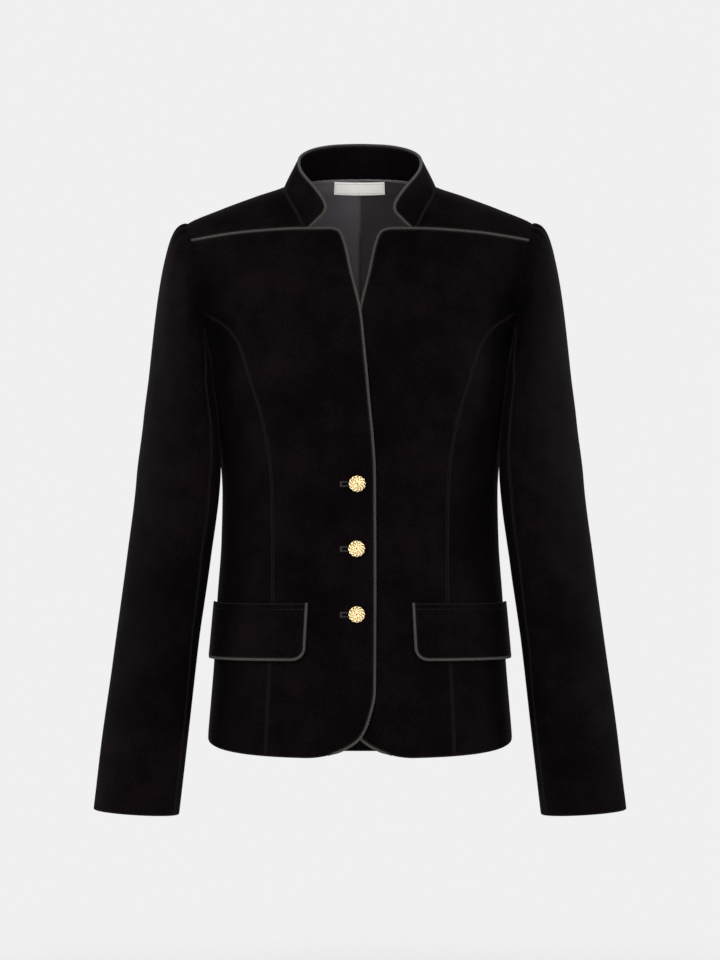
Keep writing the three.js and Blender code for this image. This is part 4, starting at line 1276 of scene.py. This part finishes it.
def back_draft():
    """The back's own coarse draft, on whose rows and columns the lining is cut."""
    shoulder = shoulder_line(np.linspace(0, 1, 7))
    arm = armhole(np.linspace(-1e-4, -math.pi, 7))[1:]
    left = np.vstack([shoulder, arm, side_seam(np.array(ROW_SHARES[1:]))])
    right = places(math.pi, BACK_NECK_Z + (BACK_HEM_Z - BACK_NECK_Z) * left[:, 1] / SIDE_HEM_Z)
    share = np.linspace(0, 1, BACK_STATIONS + 1)
    top, foot = back_neck(share), hem(math.pi / 2 * (1 + share))
    u, v = share[None, :, None], np.linspace(0, 1, len(left))[:, None, None]
    sides = left[:, None] * (1 - u) + right[:, None] * u
    ends = (top - top[0] * (1 - u) - top[-1] * u) * (1 - v)
    return sides + ends + (foot - foot[0] * (1 - u) - foot[-1] * u) * v


def lining_spots():
    draft = back_draft()
    down = LINING_TOP_ROW + (LINING_LAST_ROW - LINING_TOP_ROW) * spread(590, 4.5, 1.2)
    across = LINING_EDGE + (BACK_STATIONS - LINING_EDGE) * np.linspace(0, 1, 52) ** 0.8
    j, i = np.floor(down).astype(int)[:, None], np.floor(across).astype(int)[None, :]
    v, u = (down - j[:, 0])[:, None, None], (across - i[0])[None, :, None]
    beyond = np.minimum(i + 1, BACK_STATIONS)
    above = draft[j, i] * (1 - u) + draft[j, beyond] * u
    below = draft[j + 1, i] * (1 - u) + draft[j + 1, beyond] * u
    half = above * (1 - v) + below * v
    mirror = half[:, -2::-1] * np.array([-1, 1]) + np.array([2 * math.pi, 0])
    return np.hstack([half, mirror])


def pleat_line(z):
    return 1.2 * smooth(z, PLEAT_RELEASE_Z - 2, PLEAT_RELEASE_Z + 2) - 1.0


def lining_relief(x, z):
    """How far the visible face of the lining stands in from its even surface."""
    line = pleat_line(z)
    lapped = 1 - smooth(x, line - 0.9, line + 0.5)
    fold = 0.5 * np.exp(-(((x - line + 2.2) / 1.8) ** 2))
    sway = 0.9 * np.sin(x / 17 + 0.6 * np.sin(z / 90)) * smooth(-z, 20, 140) * smooth(np.abs(x), 4, 30)
    return PLEAT_STEP * lapped + fold + sway


def add_lining():
    spots = lining_spots()
    angle, z = spots[..., 0], spots[..., 1]
    face = body_face(angle, z)
    depth = WALL + LINING_GAP
    lines = (face[0], face[-1], face[:, 0], face[:, -1])
    edge = np.min([distance_to(face, line) for line in lines], axis=0)
    calm = smooth(edge, 0, 12)
    relief = lining_relief(face[..., 0], z) * calm
    seen = body_point(angle, z, -(depth + LINING_WALL + relief) + 0.3 * rolled(edge, 0.5))
    hidden = body_point(angle, z, -(depth + relief * 0.6))
    # Painted shade: this mark picks out the half of the lining that lies under the pleat, which the satin
    # paints darker.
    under = smooth(face[..., 0], pleat_line(z) - 0.3, pleat_line(z) + 0.3)
    marks = {"under": np.concatenate([under.ravel(), thinned(under).ravel()])}
    piece = add_wall("lining_back_cloth", seen, thinned(hidden), [SATIN], marks, 0)
    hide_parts("lining_back")
    print("lining", spots.shape[:2])


add_lining()

# %% Label and its stitches
LABEL_WALL = 0.6
LABEL_TOP_Z = 10.9
LABEL_WIDTH = 59.5
LABEL_SHIFT = -0.6
LABEL_HEIGHT = 13.6
LABEL_MARGIN = 1.7
LABEL_CLEAR = 0.9


def on_lining(x, z, lift):
    depth = WALL + LINING_GAP + LINING_WALL + LABEL_CLEAR + lift
    foot = math.pi - angle_across(-x, z, "back")
    level_z = z + depth * body_normal(foot, z)[..., 2]
    angle = math.pi - angle_across(-x, level_z, "back")
    return body_point(angle, level_z, -depth)


def add_label():
    low, high = (np.array(corner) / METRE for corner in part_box("label"))
    x = (low[0] + high[0]) / 2 + LABEL_SHIFT + LABEL_WIDTH * (spread(58, 2.0, 0.4) - 0.5)
    z = LABEL_TOP_Z - LABEL_HEIGHT * spread(LABEL_HEIGHT, 1.4, 0.4)
    x, z = np.meshgrid(x, z)
    edge = np.minimum(np.minimum(x - x.min(), x.max() - x), np.minimum(z - z.min(), z.max() - z))
    sunk = 0.22 * np.exp(-(((edge - LABEL_MARGIN) / 0.5) ** 2))
    seen = on_lining(x, z, LABEL_WALL - sunk - 0.25 * rolled(edge, 0.5))
    piece = add_wall("label_cloth", seen, thinned(on_lining(x, z, 0 * x)), [LABEL], None, 0)
    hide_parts("label")
    corners = [(x.min(), z.max()), (x.max(), z.max()), (x.max(), z.min()), (x.min(), z.min())]
    return np.array(corners) + LABEL_MARGIN * np.array([(1, -1), (-1, -1), (-1, 1), (1, 1)])


label_corners = add_label()

# %% [markdown]
# ## Stitches
#
# A stitch is a short bar of thread that dips into the cloth at both ends. One helper lays a
# row of them along any line, and all the stitches of a seam become one mesh. The flaps have
# a row under their top fold, the label a row all round, and each buttonhole two dense rows
# of cross stitches closed by a bar.

# %% Rows of stitches
STITCH_SIDES = 6


def thread_bars(starts, ends, normals, radius, arch):
    """Short arched bars from starts to ends, as one list of points and faces."""
    shares = np.array([0, 0.18, 0.5, 0.82, 1])
    thick = np.array([0.55, 0.95, 1.0, 0.95, 0.55]) * radius
    lift = arch * np.sin(math.pi * shares) - radius * 0.3
    turn = np.linspace(0, 2 * math.pi, STITCH_SIDES, endpoint=False)
    run = unit(ends - starts)
    side = unit(np.cross(run, normals))
    up = np.cross(side, run)
    centre = starts[:, None] + (ends - starts)[:, None] * shares[None, :, None]
    centre = centre + up[:, None] * lift[None, :, None]
    across = side[:, None, None] * np.cos(turn)[None, None, :, None]
    rise = up[:, None, None] * np.sin(turn)[None, None, :, None]
    points = centre[:, :, None] + (across + rise) * thick[None, :, None, None]
    bars, rings, count = points.shape[:3]
    index = np.arange(bars * rings * count).reshape(bars, rings, count)
    index = np.concatenate([index, index[..., :1]], -1)
    skin = [index[:, :-1, :-1], index[:, 1:, :-1], index[:, 1:, 1:], index[:, :-1, 1:]]
    faces = np.stack(skin, -1).reshape(-1, 4)
    caps = np.concatenate([index[:, 0, -2::-1], index[:, -1, :-1]])
    return points.reshape(-1, 3), [faces, caps]


def stitch_row(path, normals, stitch, gap, radius, arch):
    run = np.concatenate([[0], np.cumsum(np.linalg.norm(np.diff(path, axis=0), axis=1))])
    starts = np.arange(0.5 * gap, run[-1] - stitch, stitch + gap)
    at = [np.stack([np.interp(s, run, line[:, k]) for k in range(3)], -1)
          for s in (starts, starts + stitch) for line in (path,)]
    upright = np.stack([np.interp(starts, run, normals[:, k]) for k in range(3)], -1)
    return thread_bars(at[0], at[1], upright, radius, arch)


def joined(parts):
    points, faces, shift = [], {}, 0
    for own, lists in parts:
        points.append(own)
        for f in lists:
            faces.setdefault(f.shape[1], []).append(f + shift)
        shift += len(own)
    return np.vstack(points), [np.vstack(f) for f in faces.values()]


def add_stitches(name, parts):
    points, faces = joined(parts)
    add_object(name, points, faces, [THREAD])
    print(name, len(points), "points")


for side in SIDES:
    across = np.linspace(3, FLAP_WIDTH - 3, 120)
    line = flap_point(across, FLAP_STITCH + 0 * across, WALL - 0.62)
    upright = unit(line - flap_point(across, FLAP_STITCH + 0 * across, WALL - 2))
    row = stitch_row(on_side(line, side), on_side(upright, side), 2.3, 0.9, 0.2, 0.25)
    add_stitches(f"flap_stitches_{side}", [row])

# %% Stitches of the label
label_rows = []
for start, end in zip(label_corners, np.roll(label_corners, -1, axis=0)):
    xz = start + (end - start) * np.linspace(0, 1, 30)[:, None]
    line = on_lining(xz[:, 0], xz[:, 1], LABEL_WALL - 0.2)
    label_rows.append(stitch_row(line, np.tile([0.0, -1.0, 0.0], (30, 1)), 1.5, 0.6, 0.13, 0.16))
add_stitches("label_stitches", label_rows)

# %% [markdown]
# ## Buttons and buttonholes
#
# The buttons are gilt and look like a knot of thick thread, with a scalloped edge. The knot
# is a ring of woven strands: each swings from the rim to the middle and back as it goes
# round, and passes over and under the others in turn. A doubled strand gives the rope look.
# They sit on the top front, square to the cloth, over buttonholes that run inwards.

# %% Button knot
BUTTON_RADIUS = 8.9
BUTTON_HEIGHT = 4.7
BIGHTS = 12
WEAVE_LIFT = 0.6


def dome(radius):
    return BUTTON_HEIGHT - 0.9 - 1.5 * (radius / BUTTON_RADIUS) ** 2.4


def knot(middle, swing, bights, leads, strand, twins, lift=WEAVE_LIFT):
    loops = math.gcd(bights, leads)
    turns = leads // loops
    count = round(2 * math.pi * middle * turns * 3.4)
    theta = np.linspace(0, 2 * math.pi * turns, count, endpoint=False)
    parts = []
    for k in range(loops):
        phase = bights * theta / leads
        for offset in twins:
            radius = middle + (swing - abs(offset)) * np.cos(phase) + offset * 0.5
            turn = theta + 2 * math.pi * k / bights + offset * 0.5 * np.sin(phase) / middle
            height = dome(radius) + lift * np.sin((leads - 1) * phase)
            path = np.stack([radius * np.cos(turn), radius * np.sin(turn), height], -1)
            ring_turn = np.linspace(0, 2 * math.pi, 7, endpoint=False)
            ring = strand * np.stack([np.cos(ring_turn), np.sin(ring_turn)], -1)
            parts.append(swept(path, np.broadcast_to(ring, (count, 7, 2)), closed=True))
    return parts


def button_base():
    turn = np.linspace(0, 2 * math.pi, 48, endpoint=False)
    profile = [(0.3, 0), (2.2, 0), (2.2, 1.0), (5.6, 1.2), (6.9, 1.9), (6.4, 2.5), (4.2, 2.9), (0.3, 3.1)]
    rings = np.array([[(r * math.cos(t), r * math.sin(t), h) for t in turn] for r, h in profile])
    index = np.arange(rings.shape[0] * 48).reshape(rings.shape[0], 48)
    index = np.hstack([index, index[:, :1]])
    caps = [index[:1, -2::-1], index[-1:, :-1]]
    return rings.reshape(-1, 3), [grid_faces(index)[:, ::-1], *caps]


def button_parts():
    return [
        button_base(),
        *knot(5.95, 2.6, BIGHTS, 3, 0.52, (-0.55, 0.55)),
        *knot(2.4, 1.5, 5, 3, 0.55, (-0.3, 0.3), 0.4),
    ]


def add_button(number):
    node = f"button_{number}"
    low, high = (np.array(corner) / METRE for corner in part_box(node))
    points, faces = joined(button_parts())
    ridge = np.clip((points[:, 2] - dome(np.hypot(points[:, 0], points[:, 1])) + 0.5) / 1.3, 0, 1)
    centre = (low + high) / 2
    spot = angle_across(-centre[0], centre[2]), centre[2]
    normal = body_normal(*spot)
    seat = centre - normal * (BUTTON_HEIGHT / 2 + 0.2)
    up = unit(np.array([0, 0, 1]) - normal * normal[2])
    side = np.cross(up, normal)
    placed = seat + points[:, :1] * side + points[:, 1:2] * up + points[:, 2:] * normal
    piece = add_object(f"{node}_knot", placed, faces, [GILT], marks={"ridge": ridge})
    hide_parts(node)
    return seat


button_seats = [add_button(number) for number in (1, 2, 3)]
print("buttons at", [[round(float(v), 1) for v in seat] for seat in button_seats])

# %% Buttonholes
HOLE_OUTER = -20.4
HOLE_INNER = 1.0
HOLE_HALF = 2.1
CROSS_STITCH = 1.7


def on_front(x, z, out):
    angle = angle_across(-x, z)
    return body_point(angle, z, LAP["right"] * (1 - smooth(np.abs(x), LAP_FULL, LAP_NONE)) + out)


def buttonhole(z):
    parts = []
    x = np.arange(HOLE_OUTER, HOLE_INNER, 0.5)
    upright = np.tile([0.0, -1.0, 0.0], (len(x), 1))
    for row in (-1, 1):
        near, far = z + row * (HOLE_HALF - CROSS_STITCH / 2), z + row * (HOLE_HALF + CROSS_STITCH / 2)
        parts.append(thread_bars(on_front(x, near + 0 * x, -0.1), on_front(x, far + 0 * x, -0.1),
                                 upright, 0.27, 0.35))
    bar = HOLE_OUTER + np.arange(4) * 0.45
    parts.append(thread_bars(on_front(bar, z - HOLE_HALF - 1 + 0 * bar, 0.15),
                             on_front(bar, z + HOLE_HALF + 1 + 0 * bar, 0.15),
                             np.tile([0.0, -1.0, 0.0], (4, 1)), 0.3, 0.3))
    return parts


add_stitches("buttonhole_threads", [part for seat in button_seats for part in buttonhole(seat[2] - 0.4)])

# %% [markdown]
# ## Riding, finishes and the cut of the cloth
#
# Nothing on the jacket moves by itself, so every piece rides on the one body. Each piece's
# finish is looked up in a table, but it is not set on the piece. For each piece of cloth a cut
# area is worked out from a rectangle and the share of it that the piece fills, and printed
# beside the area the piece shows. No pattern was at hand: the shares are set so that the area
# comes close to the one measured on the piece.

# %% Ride and cut areas
FINISHES = {"cloth": "velvet", "cord": "piping", "knot": "button"}
CUTS = {
    "front": (190, 575, 0.63), "side_front": (135, 445, 0.825), "yoke": (75, 145, 0.79),
    "back": (215, 665, 0.91), "sleeve_top": (222, 660, 0.83), "sleeve_under": (87, 560, 0.86),
    "flap": (145, 62, 0.98), "collar": (470, 46, 0.65), "lining_back": (380, 615, 0.875),
    "label": (58, 15, 0.95),
}


def measure(piece):
    mesh = piece.data
    areas = np.empty(len(mesh.polygons))
    mesh.polygons.foreach_get("area", areas)
    return areas.sum() / 2


for name, piece in made.items():
    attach(piece, "root")
    slot = FINISHES.get(name.rsplit("_", 1)[-1], "velvet")
    slot = "lining" if name.startswith("lining") else slot
    slot = "label" if name.startswith("label") else slot
    if name.endswith("_cloth"):
        kind = name.removesuffix("_cloth").removesuffix("_right").removesuffix("_left")
        width, length, share = CUTS[kind]
        flat = (width * METRE, length * METRE)
        area = flat[0] * flat[1] * share
        print(name, "shows", round(measure(piece), 4), "m2, cut", round(area, 4), "m2")

# %% [markdown]
# ## Studio
#
# The picture was taken straight from the front, with the camera level with the waist. The
# backdrop is an even pale grey and the light is broad and soft: one large panel ahead and
# above, and a tall one at each side that wakes the bloom of the velvet along the sleeves.

# %% Floor, lights and camera
FLOOR_Z = -1150.0
FLOOR_RADIUS = 2300.0
BACKDROP = 0.871
CAMERA_DISTANCE = 3000.0
FRONT_PLANE = -105.0
CAMERA_Z = -315.4
FRAME_HEIGHT = 998.4
SENSOR = 36.0


def pale_floor():
    paint = Paint("pale floor")
    place = paint.node("ShaderNodeTexCoord", {}, {}, "Object")
    radius = paint.node("ShaderNodeVectorMath", {"operation": "LENGTH"}, {0: place}, "Value")
    fade = paint.steps(radius, 0.9, FLOOR_RADIUS * METRE)
    grain = paint.noise(place, 4, 2.0)
    return paint.finish({
        "Base Color": paint.mix(grain, (0.80, 0.80, 0.80), (0.84, 0.84, 0.84)),
        "Roughness": 0.8 + 0.1 * grain,
        "Alpha": 1 - fade,
    })


def add_floor():
    turn = np.linspace(0, 2 * math.pi, 96, endpoint=False)
    rings = [np.stack([r * np.cos(turn), r * np.sin(turn), 0 * turn], -1) for r in (1, FLOOR_RADIUS)]
    index = np.arange(192).reshape(2, 96)
    index = np.hstack([index, index[:, :1]])
    faces = [grid_faces(index), index[:1, -2::-1]]
    floor = add_object("studio_floor", np.vstack(rings), faces, [pale_floor()])
    floor.location.z = FLOOR_Z * METRE
    made.pop("studio_floor")


def add_world():
    world = bpy.data.worlds.new("studio")
    world.use_nodes = True
    bpy.context.scene.world = world
    tree = world.node_tree
    shade = tree.nodes["Background"]
    sight = tree.nodes.new("ShaderNodeLightPath")
    blend = tree.nodes.new("ShaderNodeMix")
    blend.data_type = "FLOAT"
    blend.inputs[2].default_value = 0.55
    blend.inputs[3].default_value = BACKDROP
    tree.links.new(sight.outputs["Is Camera Ray"], blend.inputs[0])
    tree.links.new(blend.outputs[0], shade.inputs["Strength"])
    shade.inputs["Color"].default_value = (1, 1, 1, 1)


def add_panel_light(name, place, target, size, power):
    light = bpy.data.lights.new(name, "AREA")
    light.shape = "RECTANGLE"
    light.size, light.size_y = size
    light.energy = power
    lamp = bpy.data.objects.new(name, light)
    lamp.location = place
    lamp.rotation_euler = (Vector(target) - Vector(place)).to_track_quat("-Z", "Y").to_euler()
    bpy.context.collection.objects.link(lamp)


def add_camera():
    lens = bpy.data.cameras.new("camera")
    lens.lens = SENSOR * CAMERA_DISTANCE / FRAME_HEIGHT
    lens.sensor_width = SENSOR
    camera = bpy.data.objects.new("camera", lens)
    camera.location = Vector((0, FRONT_PLANE - CAMERA_DISTANCE, CAMERA_Z)) * METRE
    camera.rotation_euler = (math.pi / 2, 0, 0)
    bpy.context.collection.objects.link(camera)
    bpy.context.scene.camera = camera


add_floor()
add_world()
add_panel_light("key", (-0.9, -2.6, 1.3), (0, 0, -0.3), (1.8, 1.8), 60)
add_panel_light("fill", (1.3, -2.6, 0.3), (0, 0, -0.3), (1.6, 2.0), 25)
add_panel_light("left strip", (-2.1, 0.2, -0.2), (0, 0, -0.35), (0.6, 2.2), 30)
add_panel_light("right strip", (2.1, 0.2, -0.2), (0, 0, -0.35), (0.6, 2.2), 30)
add_camera()
bpy.context.scene.view_settings.view_transform = "Standard"
